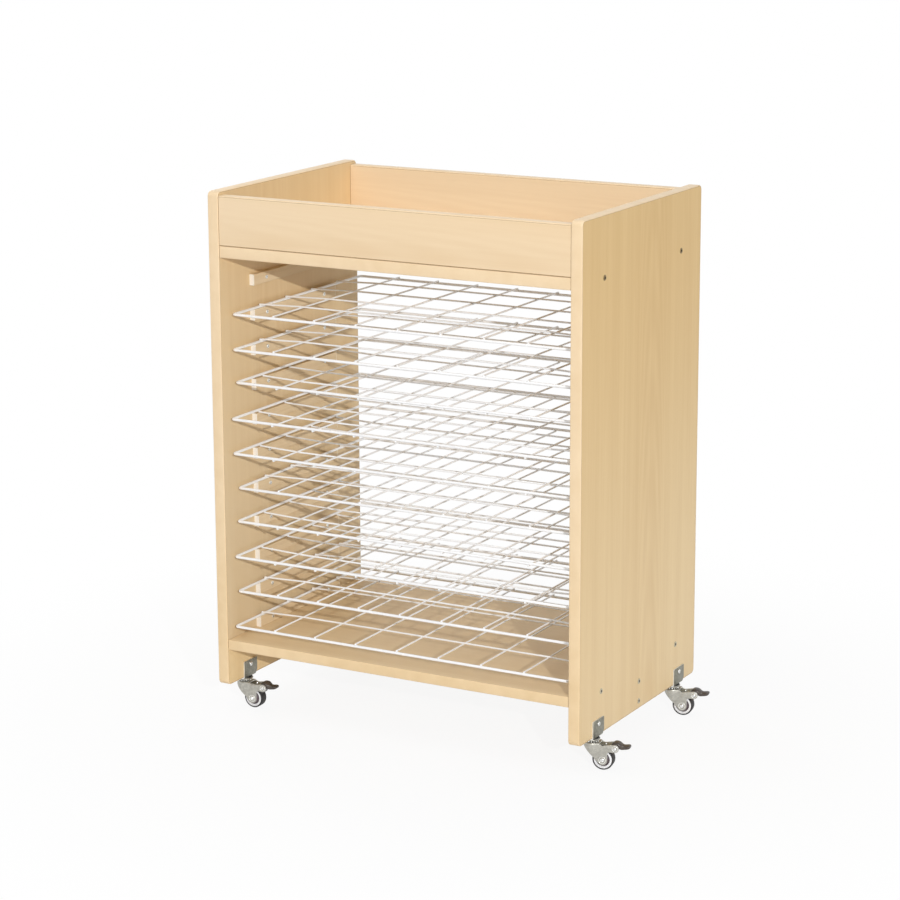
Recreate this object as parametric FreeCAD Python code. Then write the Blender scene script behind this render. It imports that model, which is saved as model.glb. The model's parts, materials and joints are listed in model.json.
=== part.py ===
# Art drying rack: an open-backed cabinet with a tray on top, on four small braked casters.
# Ten wire racks rest on wooden runners and slide out of the front.
# Millimetres. +X is the user's right, the open front faces -Y and +Z is up.
# The origin is on the floor, under the middle of the bounding box.
import FreeCAD, Part
import math
import os

Vector = FreeCAD.Vector

# Cabinet
WIDTH = 620.0                # over both side panels
DEPTH = 400.0                # side panels, front edge to back edge
PANEL_HEIGHT = 765.0
BOARD = 18.0                 # side panels, tray boards, tray floor and stretcher
SHELF_THICKNESS = 16.0
PANEL_CORNER_RADIUS = 20.0
ARRIS = 1.0                  # bevel of the boards' edges
BOARD_SETBACK = 1.5          # cross boards behind the panels' front and back edges

# Tray and bottom shelf
TRAY_WALL_HEIGHT = 75.0
TRAY_TOP_DROP = 6.0          # tray walls under the panels' top edge
SHELF_TOP = 73.0             # over the panels' bottom edge

# Runners
LEVELS = 11
HEADROOM = 37.0              # top runner under the tray floor
RUNNER_HEIGHT = 17.0
RUNNER_THICKNESS = 8.0
RUNNER_SETBACK = 82.0        # from the panels' front and back edges
RUNNER_CHAMFER = 1.0

# Wire racks
FRAME_WIRE = 4.0
GRID_WIRE = 2.5
FRAME_CORNER_RADIUS = 9.0    # on the wire's centre line
CORNER_CHORDS = 2            # straight pieces in each bent corner
FRAME_WIRE_SIDES = 6         # flats round the rim's wire, which keep ten racks light
GRID_WIRE_SIDES = 4
RACK_SIDE_CLEARANCE = 5.0
RACK_DEPTH_CLEARANCE = 22.0  # racks are this much shorter than the panels' depth
BAYS_ACROSS = 8
BAYS_DEEP = 5
RUNNING_GAP = 0.3            # between pieces that slide or turn on each other
RACK_SETBACKS = (22.0, 21.0, 27.0, 13.0, 15.0, 28.0, 23.0, 14.0, 21.0, 11.0)
UPSIDE_DOWN_RACKS = (3, 4, 5, 7, 8)

# Casters, in their own frame: swivel axis at 0, 0, panel's bottom edge at 0, trail along +X
CASTER_INSET = 60.0          # swivel axis from the panels' front and back edges
CASTER_ANGLES = {"front_left": 1.0, "front_right": 11.0, "rear_left": 7.0, "rear_right": 9.5}
BRACKET_SHEET = 2.0
BRACKET_LENGTH = 36.0
BRACKET_LEG = 26.0
BRACKET_CLIP = 4.5           # clipped rear corner at each leg's foot
BRACKET_TIP_RADIUS = 2.0
KINGPIN_DIAMETER = 6.0
KINGPIN_HEAD_DIAMETER = 10.0
KINGPIN_HEAD_THICKNESS = 1.5
RACE_NECK_DIAMETER = 10.0
RACE_SLOT = 1.7              # between bracket and raceway
RACEWAY_DIAMETER = 25.0
RACEWAY_THICKNESS = 2.2
RACE_COLLAR_DIAMETER = 16.0
RACE_HEIGHT = 6.5            # bracket to the race's lower face
SHEET = 1.5                  # fork and pedal
WHEEL_SIDE_GAP = 2.0         # tyre to the cheeks
WHEEL_TOP_GAP = 7.7          # tyre to the fork's web
CUP_BULGE = 2.0              # round front of the fork outside the straight cheeks
FORK_SKIRT = 7.0             # height of the cup's front wall
FORK_WEB_LENGTH = 15.0       # top web, from the swivel axis
CHEEK_DROP = 3.5             # cheeks' top edge under the web, behind it
TRAIL = 18.4                 # swivel axis to axle
AXLE_DIAMETER = 4.0
AXLE_CLEARANCE = 0.2
AXLE_BOSS_RADIUS = 7.0
PIN_PROUD = 1.2              # axle and brake pivot outside the cheeks
BRAKE_PIVOT_ANGLE = 45.0     # over the horizontal, as seen from the axle
BRAKE_PIVOT_GAP = 10.9       # brake pivot to the tyre
BRAKE_LOBE_RADIUS = 5.5
WHEEL_DIAMETER = 32.0
TYRE_WIDTH = 14.0
TYRE_THICKNESS = 3.0
TYRE_BEVEL = 1.8
RIM_WALL = 2.6
RIM_RECESS = 0.5             # rim's sides inside the tyre's
WEB_WIDTH = 5.0
PEDAL_DROP = 20.0            # degrees from up to braked
CAM_GAP = 0.4                # between cam and tyre with the pedal down
CAM_WALL = 2.5               # round the pivot's bore
CAM_NOSE = 4.0
HOOD_SIDE_GAP = 1.0          # hood to the cheeks
HOOD_LENGTH = 17.0
HOOD_RISE = 9.0              # top of the hood over the brake pivot
HOOD_RADIUS = 4.0
TONGUE_REACH = 21.7          # brake pivot to the tongue's tip
TONGUE_WIDTH = 13.0          # at its tip
TONGUE_WAIST = 9.0
TONGUE_THICKNESS = 2.5

# Screws, each with a tapering head and a plain shank in holes that fit it
SCREW_SIDES = 6              # flats round a cabinet or bracket screw
CABINET_SCREW_HEAD = 8.0
CABINET_SCREW_SHANK = 5.0
CABINET_SCREW_LENGTH = 50.0
CABINET_SCREW_SPREAD = 129.0     # from the middle of the depth, in tray floor and shelf
STRETCHER_SCREW_HEIGHTS = (12.0, 43.0)
BRACKET_SCREW_HEAD = 8.0
BRACKET_SCREW_SHANK = 4.0
BRACKET_SCREW_DOME = 1.8     # head over the bracket's leg
BRACKET_SCREW_LENGTH = 9.0
BRACKET_SCREW_HEIGHT = 18.7
RUNNER_SCREW_SIDES = 4
RUNNER_SCREW_HEAD = 5.0
RUNNER_SCREW_SHANK = 3.0
RUNNER_SCREW_LENGTH = 18.0
RUNNER_SCREW_INSET = 35.0    # from the runner's ends

# Heights in a caster, down from the panel's bottom edge
RACE_BOTTOM = -BRACKET_SHEET - RACE_HEIGHT
FORK_TOP = RACE_BOTTOM - RUNNING_GAP
AXLE_Z = FORK_TOP - SHEET - WHEEL_TOP_GAP - WHEEL_DIAMETER / 2
CASTER_HEIGHT = WHEEL_DIAMETER / 2 - AXLE_Z

HALF_WIDTH = WIDTH / 2
HALF_DEPTH = DEPTH / 2
INNER_HALF_WIDTH = HALF_WIDTH - BOARD
PANEL_BOTTOM = CASTER_HEIGHT
PANEL_TOP = PANEL_BOTTOM + PANEL_HEIGHT
TRAY_WALL_TOP = PANEL_TOP - TRAY_TOP_DROP
TRAY_FLOOR_TOP = TRAY_WALL_TOP - TRAY_WALL_HEIGHT
TRAY_FLOOR_BOTTOM = TRAY_FLOOR_TOP - BOARD
SHELF_SURFACE = PANEL_BOTTOM + SHELF_TOP
SHELF_UNDERSIDE = SHELF_SURFACE - SHELF_THICKNESS
BOARD_HALF_DEPTH = HALF_DEPTH - BOARD_SETBACK
CORNERS = {
    "front_left": (-1, -1),
    "front_right": (1, -1),
    "rear_left": (-1, 1),
    "rear_right": (1, 1),
}


# ---------------------------------------------------------------- outlines and plain solids

def outline(corners):
    """A closed wire in the XY plane through (x, y, radius) corners; radius 0 is a sharp corner."""
    points = [Vector(x, y, 0) for x, y, radius in corners]
    stretches = []
    for index, (x, y, radius) in enumerate(corners):
        corner = points[index]
        if radius == 0:
            stretches.append((corner, None, corner))
            continue
        to_last = (points[index - 1] - corner).normalize()
        to_next = (points[(index + 1) % len(points)] - corner).normalize()
        half_angle = to_last.getAngle(to_next) / 2
        inwards = (to_last + to_next).normalize()
        setback = radius / math.tan(half_angle)
        middle = corner + inwards * (radius / math.sin(half_angle) - radius)
        stretches.append((corner + to_last * setback, middle, corner + to_next * setback))
    edges = []
    for index, (start, middle, end) in enumerate(stretches):
        if middle is not None:
            edges.append(Part.Arc(start, middle, end).toShape())
        next_start = stretches[(index + 1) % len(stretches)][0]
        if (next_start - end).Length > 1e-6:
            edges.append(Part.LineSegment(end, next_start).toShape())
    return Part.Wire(edges)


def prism(wire, height, base=0.0):
    """A plan outline raised along +Z from base."""
    face = Part.Face(wire)
    face.translate(Vector(0, 0, base))
    return face.extrude(Vector(0, 0, height))


def side_prism(wire, width):
    """An outline drawn as (x, z), widened along Y on both sides of the XZ plane."""
    solid = prism(wire, width, -width / 2)
    solid.rotate(Vector(0, 0, 0), Vector(1, 0, 0), 90)
    return solid


def box(low, high):
    return Part.makeBox(high[0] - low[0], high[1] - low[1], high[2] - low[2], Vector(*low))


def cylinder(radius, height, base=0.0):
    return Part.makeCylinder(radius, height, Vector(0, 0, base))


def cross_cylinder(x, z, radius, width):
    """A cylinder across the caster, on both sides of its mid-plane."""
    return Part.makeCylinder(radius, width, Vector(x, -width / 2, z), Vector(0, 1, 0))


def turned(profile):
    """A solid of revolution about Z from (radius, height) points."""
    points = [Vector(radius, 0, height) for radius, height in profile]
    face = Part.Face(Part.makePolygon(points + points[:1]))
    return face.revolve(Vector(0, 0, 0), Vector(0, 0, 1), 360)


def turned_across(profile, x, z):
    """A solid of revolution about an axis across the caster."""
    solid = turned(profile)
    solid.rotate(Vector(0, 0, 0), Vector(1, 0, 0), 90)
    solid.translate(Vector(x, 0, z))
    return solid


def faceted(profile, sides):
    """A solid along Z with a regular polygon of each (radius, height) of the profile."""
    rings = []
    for radius, height in profile:
        spokes = [FreeCAD.Rotation(Vector(0, 0, 1), 360.0 * side / sides) for side in range(sides)]
        ring = [spoke.multVec(Vector(radius, 0, height)) for spoke in spokes]
        rings.append(Part.makePolygon(ring + ring[:1]))
    return Part.makeLoft(rings, True, True)


def bevel(solid, chosen):
    """Bevels those edges of a board that chosen(edge) picks."""
    return solid.makeChamfer(ARRIS, [edge for edge in solid.Edges if chosen(edge)])


# ---------------------------------------------------------------- cabinet boards

def side_panel(side):
    """A full-height panel with round corners and bevelled edges."""
    corners = [
        (-PANEL_HEIGHT / 2, -HALF_DEPTH, PANEL_CORNER_RADIUS),
        (PANEL_HEIGHT / 2, -HALF_DEPTH, PANEL_CORNER_RADIUS),
        (PANEL_HEIGHT / 2, HALF_DEPTH, PANEL_CORNER_RADIUS),
        (-PANEL_HEIGHT / 2, HALF_DEPTH, PANEL_CORNER_RADIUS),
    ]
    panel = prism(outline(corners), BOARD)
    rims = [edge for face in panel.Faces if face.normalAt(0, 0).z ** 2 > 0.9 for edge in face.Edges]
    panel = panel.makeChamfer(ARRIS, rims)
    panel.rotate(Vector(0, 0, 0), Vector(0, 1, 0), -90)
    inner_x = INNER_HALF_WIDTH + BOARD if side > 0 else -INNER_HALF_WIDTH
    panel.translate(Vector(inner_x, 0, PANEL_BOTTOM + PANEL_HEIGHT / 2))
    return panel


def cross_board(low_y, high_y, low_z, high_z):
    """A board between the side panels, with its long edges bevelled."""
    length = 2 * INNER_HALF_WIDTH
    board = box((-INNER_HALF_WIDTH, low_y, low_z), (INNER_HALF_WIDTH, high_y, high_z))
    return bevel(board, lambda edge: abs(edge.Length - length) < 1e-6)


def tray_front_board():
    """Stands on the tray floor, level with its front edge."""
    return cross_board(-BOARD_HALF_DEPTH, BOARD - BOARD_HALF_DEPTH, TRAY_FLOOR_TOP, TRAY_WALL_TOP)


def tray_back_board():
    return cross_board(BOARD_HALF_DEPTH - BOARD, BOARD_HALF_DEPTH, TRAY_FLOOR_TOP, TRAY_WALL_TOP)


def tray_floor():
    return cross_board(-BOARD_HALF_DEPTH, BOARD_HALF_DEPTH, TRAY_FLOOR_BOTTOM, TRAY_FLOOR_TOP)


def bottom_shelf():
    return cross_board(-BOARD_HALF_DEPTH, BOARD_HALF_DEPTH, SHELF_UNDERSIDE, SHELF_SURFACE)


def bottom_stretcher():
    """A rail on edge under the bottom shelf, which keeps shelf and panels square."""
    return cross_board(-BOARD / 2, BOARD / 2, PANEL_BOTTOM, SHELF_UNDERSIDE)


# ---------------------------------------------------------------- runners

LOWEST_RUNNER_TOP = SHELF_SURFACE + RUNNER_HEIGHT
HIGHEST_RUNNER_TOP = TRAY_FLOOR_BOTTOM - HEADROOM
RUNNER_PITCH = (HIGHEST_RUNNER_TOP - LOWEST_RUNNER_TOP) / (LEVELS - 1)


def runner_top(level):
    """Height of a runner's top face; level 0 is the highest and carries no rack."""
    return HIGHEST_RUNNER_TOP - level * RUNNER_PITCH


def runner_pair(level):
    """The left and right wooden strips of one level, with their inner edges chamfered."""
    top = runner_top(level)
    half_length = HALF_DEPTH - RUNNER_SETBACK
    left = box(
        (-INNER_HALF_WIDTH, -half_length, top - RUNNER_HEIGHT),
        (RUNNER_THICKNESS - INNER_HALF_WIDTH, half_length, top),
    )
    inner_face = max(left.Faces, key=lambda face: face.CenterOfMass.x)
    left = left.makeChamfer(RUNNER_CHAMFER, inner_face.Edges)
    return [left, left.mirror(Vector(0, 0, 0), Vector(1, 0, 0))]


# ---------------------------------------------------------------- wire racks

RACK_DEPTH = DEPTH - RACK_DEPTH_CLEARANCE
RACK_HALF_WIDTH = INNER_HALF_WIDTH - RACK_SIDE_CLEARANCE
FRAME_HALF_WIDTH = RACK_HALF_WIDTH - FRAME_WIRE / 2
FRAME_HALF_DEPTH = (RACK_DEPTH - FRAME_WIRE) / 2
LOWER_WIRE_Z = (FRAME_WIRE + GRID_WIRE) / 2
UPPER_WIRE_Z = LOWER_WIRE_Z + GRID_WIRE


def wire(points, diameter, sides, closed=False):
    """A bent wire through points, mitred at its bends, with flats round it."""
    along = points[1] - points[0]
    start = (points[0] + points[1]) * 0.5 if closed else points[0]
    rim = [FreeCAD.Rotation(along, 360.0 * side / sides) for side in range(sides)]
    upwards = along.cross(Vector(0, 0, 1)).cross(along).normalize() * (diameter / 2)
    section = [start + turn.multVec(upwards) for turn in rim]
    path = [start] + points[1:] + [points[0], start] if closed else points
    sweep = Part.BRepOffsetAPI.MakePipeShell(Part.makePolygon(path))
    sweep.setTransitionMode(1)
    sweep.add(Part.makePolygon(section + section[:1]))
    sweep.build()
    sweep.makeSolid()
    return sweep.shape()


def rack_frame():
    """The rack's rim: one thick wire bent to a rectangle, its centre line at z = 0."""
    points = []
    for quarter, (side_x, side_y) in enumerate(((1, -1), (1, 1), (-1, 1), (-1, -1))):
        centre_x = side_x * (FRAME_HALF_WIDTH - FRAME_CORNER_RADIUS)
        centre_y = side_y * (FRAME_HALF_DEPTH - FRAME_CORNER_RADIUS)
        for chord in range(CORNER_CHORDS + 1):
            angle = math.radians(90.0 * (quarter - 1 + chord / CORNER_CHORDS))
            x = centre_x + FRAME_CORNER_RADIUS * math.cos(angle)
            y = centre_y + FRAME_CORNER_RADIUS * math.sin(angle)
            points.append(Vector(x, y, 0))
    return wire(points[-1:] + points[:-1], FRAME_WIRE, FRAME_WIRE_SIDES, closed=True)


def lower_wires():
    """Straight wires from front to back, welded on top of the rim."""
    bay = 2 * FRAME_HALF_WIDTH / BAYS_ACROSS
    places = [index * bay - FRAME_HALF_WIDTH for index in range(1, BAYS_ACROSS)]
    reach = RACK_DEPTH / 2
    ends = [(Vector(x, -reach, LOWER_WIRE_Z), Vector(x, reach, LOWER_WIRE_Z)) for x in places]
    return [wire([start, end], GRID_WIRE, GRID_WIRE_SIDES) for start, end in ends]


def upper_wires():
    """Wires from side to side over the others, bent down in the outer bays to meet the rim."""
    knee = FRAME_HALF_WIDTH - 2 * FRAME_HALF_WIDTH / BAYS_ACROSS
    bay = 2 * FRAME_HALF_DEPTH / BAYS_DEEP
    across = (
        (-RACK_HALF_WIDTH, LOWER_WIRE_Z),
        (-knee, UPPER_WIRE_Z),
        (knee, UPPER_WIRE_Z),
        (RACK_HALF_WIDTH, LOWER_WIRE_Z),
    )
    places = [index * bay - FRAME_HALF_DEPTH for index in range(1, BAYS_DEEP)]
    return [wire([Vector(x, y, z) for x, z in across], GRID_WIRE, GRID_WIRE_SIDES) for y in places]


def rack(number):
    """A welded rack in its place. Some racks lie with their grid wires downwards."""
    upside_down = number in UPSIDE_DOWN_RACKS
    reach_down = LOWER_WIRE_Z + GRID_WIRE / 2 if upside_down else FRAME_WIRE / 2
    turn = FreeCAD.Rotation(Vector(0, 1, 0), 180 if upside_down else 0)
    place = Vector(
        0,
        RACK_SETBACKS[number - 1] + RACK_DEPTH / 2 - HALF_DEPTH,
        runner_top(number) + RUNNING_GAP + reach_down,
    )
    wires = [rack_frame()] + lower_wires() + upper_wires()
    return [placed(each, FreeCAD.Placement(place, turn)) for each in wires]


def placed(shape, placement):
    moved = shape.copy()
    moved.Placement = placement.multiply(shape.Placement)
    return moved


# ---------------------------------------------------------------- casters

FORK_HALF_WIDTH = TYRE_WIDTH / 2 + WHEEL_SIDE_GAP + SHEET
FORK_WIDTH = 2 * FORK_HALF_WIDTH
CUP_RADIUS = FORK_HALF_WIDTH + CUP_BULGE
PIVOT_DISTANCE = WHEEL_DIAMETER / 2 + BRAKE_PIVOT_GAP
BRAKE_PIVOT_X = TRAIL + PIVOT_DISTANCE * math.cos(math.radians(BRAKE_PIVOT_ANGLE))
BRAKE_PIVOT_Z = AXLE_Z + PIVOT_DISTANCE * math.sin(math.radians(BRAKE_PIVOT_ANGLE))
FORK_END = BRAKE_PIVOT_X + BRAKE_LOBE_RADIUS
HOOD_WIDTH = FORK_WIDTH - 2 * (SHEET + HOOD_SIDE_GAP)
RIM_RADIUS = WHEEL_DIAMETER / 2 - TYRE_THICKNESS


def caster_bracket():
    """A steel U that straddles the panel's bottom edge."""
    outer = BOARD / 2 + BRACKET_SHEET
    u_shape = [
        (-outer, -BRACKET_SHEET, BRACKET_SHEET),
        (outer, -BRACKET_SHEET, BRACKET_SHEET),
        (outer, BRACKET_LEG, 0),
        (BOARD / 2, BRACKET_LEG, 0),
        (BOARD / 2, 0, 0),
        (-BOARD / 2, 0, 0),
        (-BOARD / 2, BRACKET_LEG, 0),
        (-outer, BRACKET_LEG, 0),
    ]
    half = BRACKET_LENGTH / 2
    leg_shape = [
        (-half, -BRACKET_SHEET, 0),
        (half - BRACKET_CLIP, -BRACKET_SHEET, 0),
        (half, BRACKET_CLIP - BRACKET_SHEET, 0),
        (half, BRACKET_LEG, BRACKET_TIP_RADIUS),
        (-half, BRACKET_LEG, BRACKET_TIP_RADIUS),
    ]
    side_view = side_prism(outline(leg_shape), 2 * outer)
    side_view.rotate(Vector(0, 0, 0), Vector(0, 0, 1), 90)
    return side_prism(outline(u_shape), BRACKET_LENGTH).common(side_view)


def kingpin():
    """The swivel bearing under the bracket, with the pin and head that carry the fork."""
    raceway_top = -BRACKET_SHEET - RACE_SLOT
    foot_top = FORK_TOP - SHEET - RUNNING_GAP
    profile = [
        (0, -BRACKET_SHEET),
        (RACE_NECK_DIAMETER / 2, -BRACKET_SHEET),
        (RACE_NECK_DIAMETER / 2, raceway_top),
        (RACEWAY_DIAMETER / 2, raceway_top),
        (RACEWAY_DIAMETER / 2, raceway_top - RACEWAY_THICKNESS),
        (RACE_COLLAR_DIAMETER / 2, RACE_BOTTOM),
        (KINGPIN_DIAMETER / 2, RACE_BOTTOM),
        (KINGPIN_DIAMETER / 2, foot_top),
        (KINGPIN_HEAD_DIAMETER / 2, foot_top),
        (KINGPIN_HEAD_DIAMETER / 2, foot_top - KINGPIN_HEAD_THICKNESS),
        (0, foot_top - KINGPIN_HEAD_THICKNESS),
    ]
    return turned(profile)


def fork():
    """Pressed steel fork: a round cup in front, and cheeks that carry axle and brake pivot."""
    shell = fork_block(0).cut(fork_block(SHEET))
    behind_web = box(
        (FORK_WEB_LENGTH, SHEET - FORK_HALF_WIDTH, -CASTER_HEIGHT),
        (FORK_END, FORK_HALF_WIDTH - SHEET, 0),
    )
    bores = [
        cylinder(KINGPIN_DIAMETER / 2 + RUNNING_GAP, CASTER_HEIGHT, -CASTER_HEIGHT),
        cross_cylinder(TRAIL, AXLE_Z, AXLE_DIAMETER / 2, FORK_WIDTH),
        cross_cylinder(BRAKE_PIVOT_X, BRAKE_PIVOT_Z, AXLE_DIAMETER / 2, FORK_WIDTH),
    ]
    pressed = shell.cut(behind_web).common(fork_side_view())
    return pressed.cut(bores)


def fork_block(inset):
    """The fork as a solid block, round in front and straight-sided behind, drawn inset."""
    height = CASTER_HEIGHT + FORK_TOP - inset
    half = FORK_HALF_WIDTH - inset
    # Cup and cheeks meet where the cup has narrowed to the cheeks' width.
    cup = cylinder(CUP_RADIUS - inset, height, -CASTER_HEIGHT)
    waist = math.sqrt(CUP_RADIUS ** 2 - FORK_HALF_WIDTH ** 2)
    cup = cup.common(box((-CUP_RADIUS, -CUP_RADIUS, -CASTER_HEIGHT), (waist, CUP_RADIUS, 0)))
    cheeks = box((0, -half, -CASTER_HEIGHT), (FORK_END, half, -CASTER_HEIGHT + height))
    return cup.fuse(cheeks).removeSplitter()


def fork_side_view():
    """Seen from the side: web, cup skirt, slanted front edge, axle boss and brake lobe."""
    skirt = FORK_TOP - FORK_SKIRT
    lobe_top = BRAKE_PIVOT_Z + BRAKE_LOBE_RADIUS
    boss_end = TRAIL + AXLE_BOSS_RADIUS
    # The slanted edge runs on the tangent from the skirt to the boss.
    reach = math.hypot(TRAIL + CUP_RADIUS, skirt - AXLE_Z)
    angle = math.atan2(skirt - AXLE_Z, -CUP_RADIUS - TRAIL) + math.acos(AXLE_BOSS_RADIUS / reach)
    tangent_x = TRAIL + AXLE_BOSS_RADIUS * math.cos(angle)
    tangent_z = AXLE_Z + AXLE_BOSS_RADIUS * math.sin(angle)
    plan = [
        (-CUP_RADIUS, FORK_TOP, 0),
        (-CUP_RADIUS, skirt, 0),
        (tangent_x, tangent_z, 0),
        (boss_end, AXLE_Z, 0),
        (boss_end, BRAKE_PIVOT_Z - BRAKE_LOBE_RADIUS, 0),
        (BRAKE_PIVOT_X, BRAKE_PIVOT_Z - BRAKE_LOBE_RADIUS, 0),
        (BRAKE_PIVOT_X, lobe_top, 0),
        (FORK_WEB_LENGTH + CHEEK_DROP, FORK_TOP - CHEEK_DROP, 0),
        (FORK_WEB_LENGTH, FORK_TOP, 0),
    ]
    view = side_prism(outline(plan), 2 * CUP_RADIUS)
    boss = cross_cylinder(TRAIL, AXLE_Z, AXLE_BOSS_RADIUS, 2 * CUP_RADIUS)
    lobe = cross_cylinder(BRAKE_PIVOT_X, BRAKE_PIVOT_Z, BRAKE_LOBE_RADIUS, 2 * CUP_RADIUS)
    return view.fuse([boss, lobe]).removeSplitter()


def fork_pins():
    """The axle and the brake pivot, pressed into both cheeks."""
    length = FORK_WIDTH + 2 * PIN_PROUD
    axle = cross_cylinder(TRAIL, AXLE_Z, AXLE_DIAMETER / 2, length)
    return [axle, cross_cylinder(BRAKE_PIVOT_X, BRAKE_PIVOT_Z, AXLE_DIAMETER / 2, length)]


def wheel_hub():
    """Moulded hub: a rim under the tyre, and a dished web that is thickest at the axle."""
    bore = AXLE_DIAMETER / 2 + AXLE_CLEARANCE
    boss_end = FORK_HALF_WIDTH - SHEET - RUNNING_GAP
    rim_end = TYRE_WIDTH / 2 - RIM_RECESS
    half = [
        (bore, boss_end),
        (RIM_RADIUS - RIM_WALL, WEB_WIDTH / 2),
        (RIM_RADIUS - RIM_WALL, rim_end),
        (RIM_RADIUS, rim_end),
    ]
    mirrored = [(radius, -height) for radius, height in reversed(half)]
    return turned_across(half + mirrored, TRAIL, AXLE_Z)


def tyre():
    """Rubber tread with bevelled shoulders, moulded on the rim."""
    outer = WHEEL_DIAMETER / 2
    half = TYRE_WIDTH / 2
    profile = [
        (RIM_RADIUS, -half),
        (outer - TYRE_BEVEL, -half),
        (outer, TYRE_BEVEL - half),
        (outer, half - TYRE_BEVEL),
        (outer - TYRE_BEVEL, half),
        (RIM_RADIUS, half),
    ]
    return turned_across(profile, TRAIL, AXLE_Z)


def brake_pedal():
    """A hood with a tongue that a toe presses down, and a cam that then comes to the tyre."""
    back = BRAKE_PIVOT_X - BRAKE_LOBE_RADIUS
    front = back + HOOD_LENGTH
    top = BRAKE_PIVOT_Z + HOOD_RISE
    tongue_top = BRAKE_PIVOT_Z + TONGUE_THICKNESS
    middle = (back + front) / 2
    hood = [
        (back, BRAKE_PIVOT_Z, 0),
        (back, top, HOOD_RADIUS),
        (middle, top, HOOD_RADIUS),
        (front, tongue_top, 0),
        (front, BRAKE_PIVOT_Z, 0),
    ]
    hollow = [
        (back + SHEET, BRAKE_PIVOT_Z - SHEET, 0),
        (back + SHEET, top - SHEET, HOOD_RADIUS - SHEET),
        (middle - SHEET / 2, top - SHEET, HOOD_RADIUS - SHEET),
        (front - SHEET, tongue_top - SHEET, 0),
        (front - SHEET, BRAKE_PIVOT_Z - SHEET, 0),
    ]
    half = TONGUE_WIDTH / 2
    tip = BRAKE_PIVOT_X + TONGUE_REACH
    tongue = [
        (front - SHEET, -TONGUE_WAIST / 2, 0),
        (tip, -half, half - SHEET),
        (tip, half, half - SHEET),
        (front - SHEET, TONGUE_WAIST / 2, 0),
    ]
    pressed = side_prism(outline(hood), HOOD_WIDTH)
    pressed = pressed.cut(side_prism(outline(hollow), HOOD_WIDTH - 2 * SHEET))
    pressed = pressed.fuse(prism(outline(tongue), TONGUE_THICKNESS, BRAKE_PIVOT_Z))
    bore = cross_cylinder(BRAKE_PIVOT_X, BRAKE_PIVOT_Z, AXLE_DIAMETER / 2 + AXLE_CLEARANCE, FORK_WIDTH)
    return pressed.fuse(brake_cam()).removeSplitter().cut(bore)


def brake_cam():
    """A boss on the brake pivot, with a nose that stands PEDAL_DROP away from the wheel."""
    boss_radius = AXLE_DIAMETER / 2 + CAM_WALL
    reach = BRAKE_PIVOT_GAP - CAM_GAP - CAM_NOSE / 2
    angle = 180 + BRAKE_PIVOT_ANGLE + PEDAL_DROP
    nose = box((0, -TYRE_WIDTH / 2, -CAM_NOSE / 2), (reach, TYRE_WIDTH / 2, CAM_NOSE / 2))
    nose = nose.fuse(cross_cylinder(reach, 0, CAM_NOSE / 2, TYRE_WIDTH))
    nose.rotate(Vector(0, 0, 0), Vector(0, -1, 0), angle)
    nose.translate(Vector(BRAKE_PIVOT_X, 0, BRAKE_PIVOT_Z))
    return cross_cylinder(BRAKE_PIVOT_X, BRAKE_PIVOT_Z, boss_radius, HOOD_WIDTH).fuse(nose)


# ---------------------------------------------------------------- screws

def through_sides(screw, inner_x, places):
    """Copies of a screw whose shank points down, turned to go outwards at (y, z) on both sides."""
    screws = []
    for side in (-1, 1):
        turn = FreeCAD.Rotation(Vector(0, 1, 0), -90 * side)
        for y, z in places:
            screws.append(placed(screw, FreeCAD.Placement(Vector(side * inner_x, y, z), turn)))
    return screws


def flush_screw(head, shank, length, sides):
    """Its head's top at z = 0 and its shank downwards."""
    return faceted([(head / 2, 0), (shank / 2, (shank - head) / 2), (shank / 2, -length)], sides)


def cabinet_screws():
    """Flush with the panels' outer faces, into tray floor, shelf and stretcher."""
    screw = flush_screw(CABINET_SCREW_HEAD, CABINET_SCREW_SHANK, CABINET_SCREW_LENGTH, SCREW_SIDES)
    spread = (-CABINET_SCREW_SPREAD, CABINET_SCREW_SPREAD)
    heights = ((TRAY_FLOOR_TOP + TRAY_FLOOR_BOTTOM) / 2, (SHELF_SURFACE + SHELF_UNDERSIDE) / 2)
    places = [(y, z) for z in heights for y in spread]
    places += [(0, PANEL_BOTTOM + height) for height in STRETCHER_SCREW_HEIGHTS]
    return through_sides(screw, -HALF_WIDTH, places)


def runner_screws():
    """Flush with the runners' inner faces, into the side panels."""
    screw = flush_screw(RUNNER_SCREW_HEAD, RUNNER_SCREW_SHANK, RUNNER_SCREW_LENGTH, RUNNER_SCREW_SIDES)
    y = HALF_DEPTH - RUNNER_SETBACK - RUNNER_SCREW_INSET
    heights = [runner_top(level) - RUNNER_HEIGHT / 2 for level in range(LEVELS)]
    places = [(side * y, z) for z in heights for side in (-1, 1)]
    return through_sides(screw, INNER_HALF_WIDTH - RUNNER_THICKNESS, places)


def bracket_screws():
    """Domed screws through both legs of each caster's bracket into the panel's edge."""
    rim = BRACKET_SCREW_HEAD / 2
    shank = BRACKET_SCREW_SHANK / 2
    dome = [(rim / 2, BRACKET_SCREW_DOME), (rim, BRACKET_SCREW_DOME / 3), (rim, 0)]
    screw = faceted(dome, SCREW_SIDES).fuse(faceted([(shank, 0), (shank, -BRACKET_SCREW_LENGTH)], SCREW_SIDES))
    y = HALF_DEPTH - CASTER_INSET
    places = [(side * y, PANEL_BOTTOM + BRACKET_SCREW_HEIGHT) for side in (-1, 1)]
    inner = through_sides(screw, INNER_HALF_WIDTH - BRACKET_SHEET, places)
    return inner + through_sides(screw, -HALF_WIDTH - BRACKET_SHEET, places)


def with_holes(solid, screws):
    """The solid with a hole for each screw that reaches into it."""
    near = [screw for screw in screws if screw.BoundBox.intersect(solid.BoundBox)]
    return solid.cut(near) if near else solid


# ---------------------------------------------------------------- assembly

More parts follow.
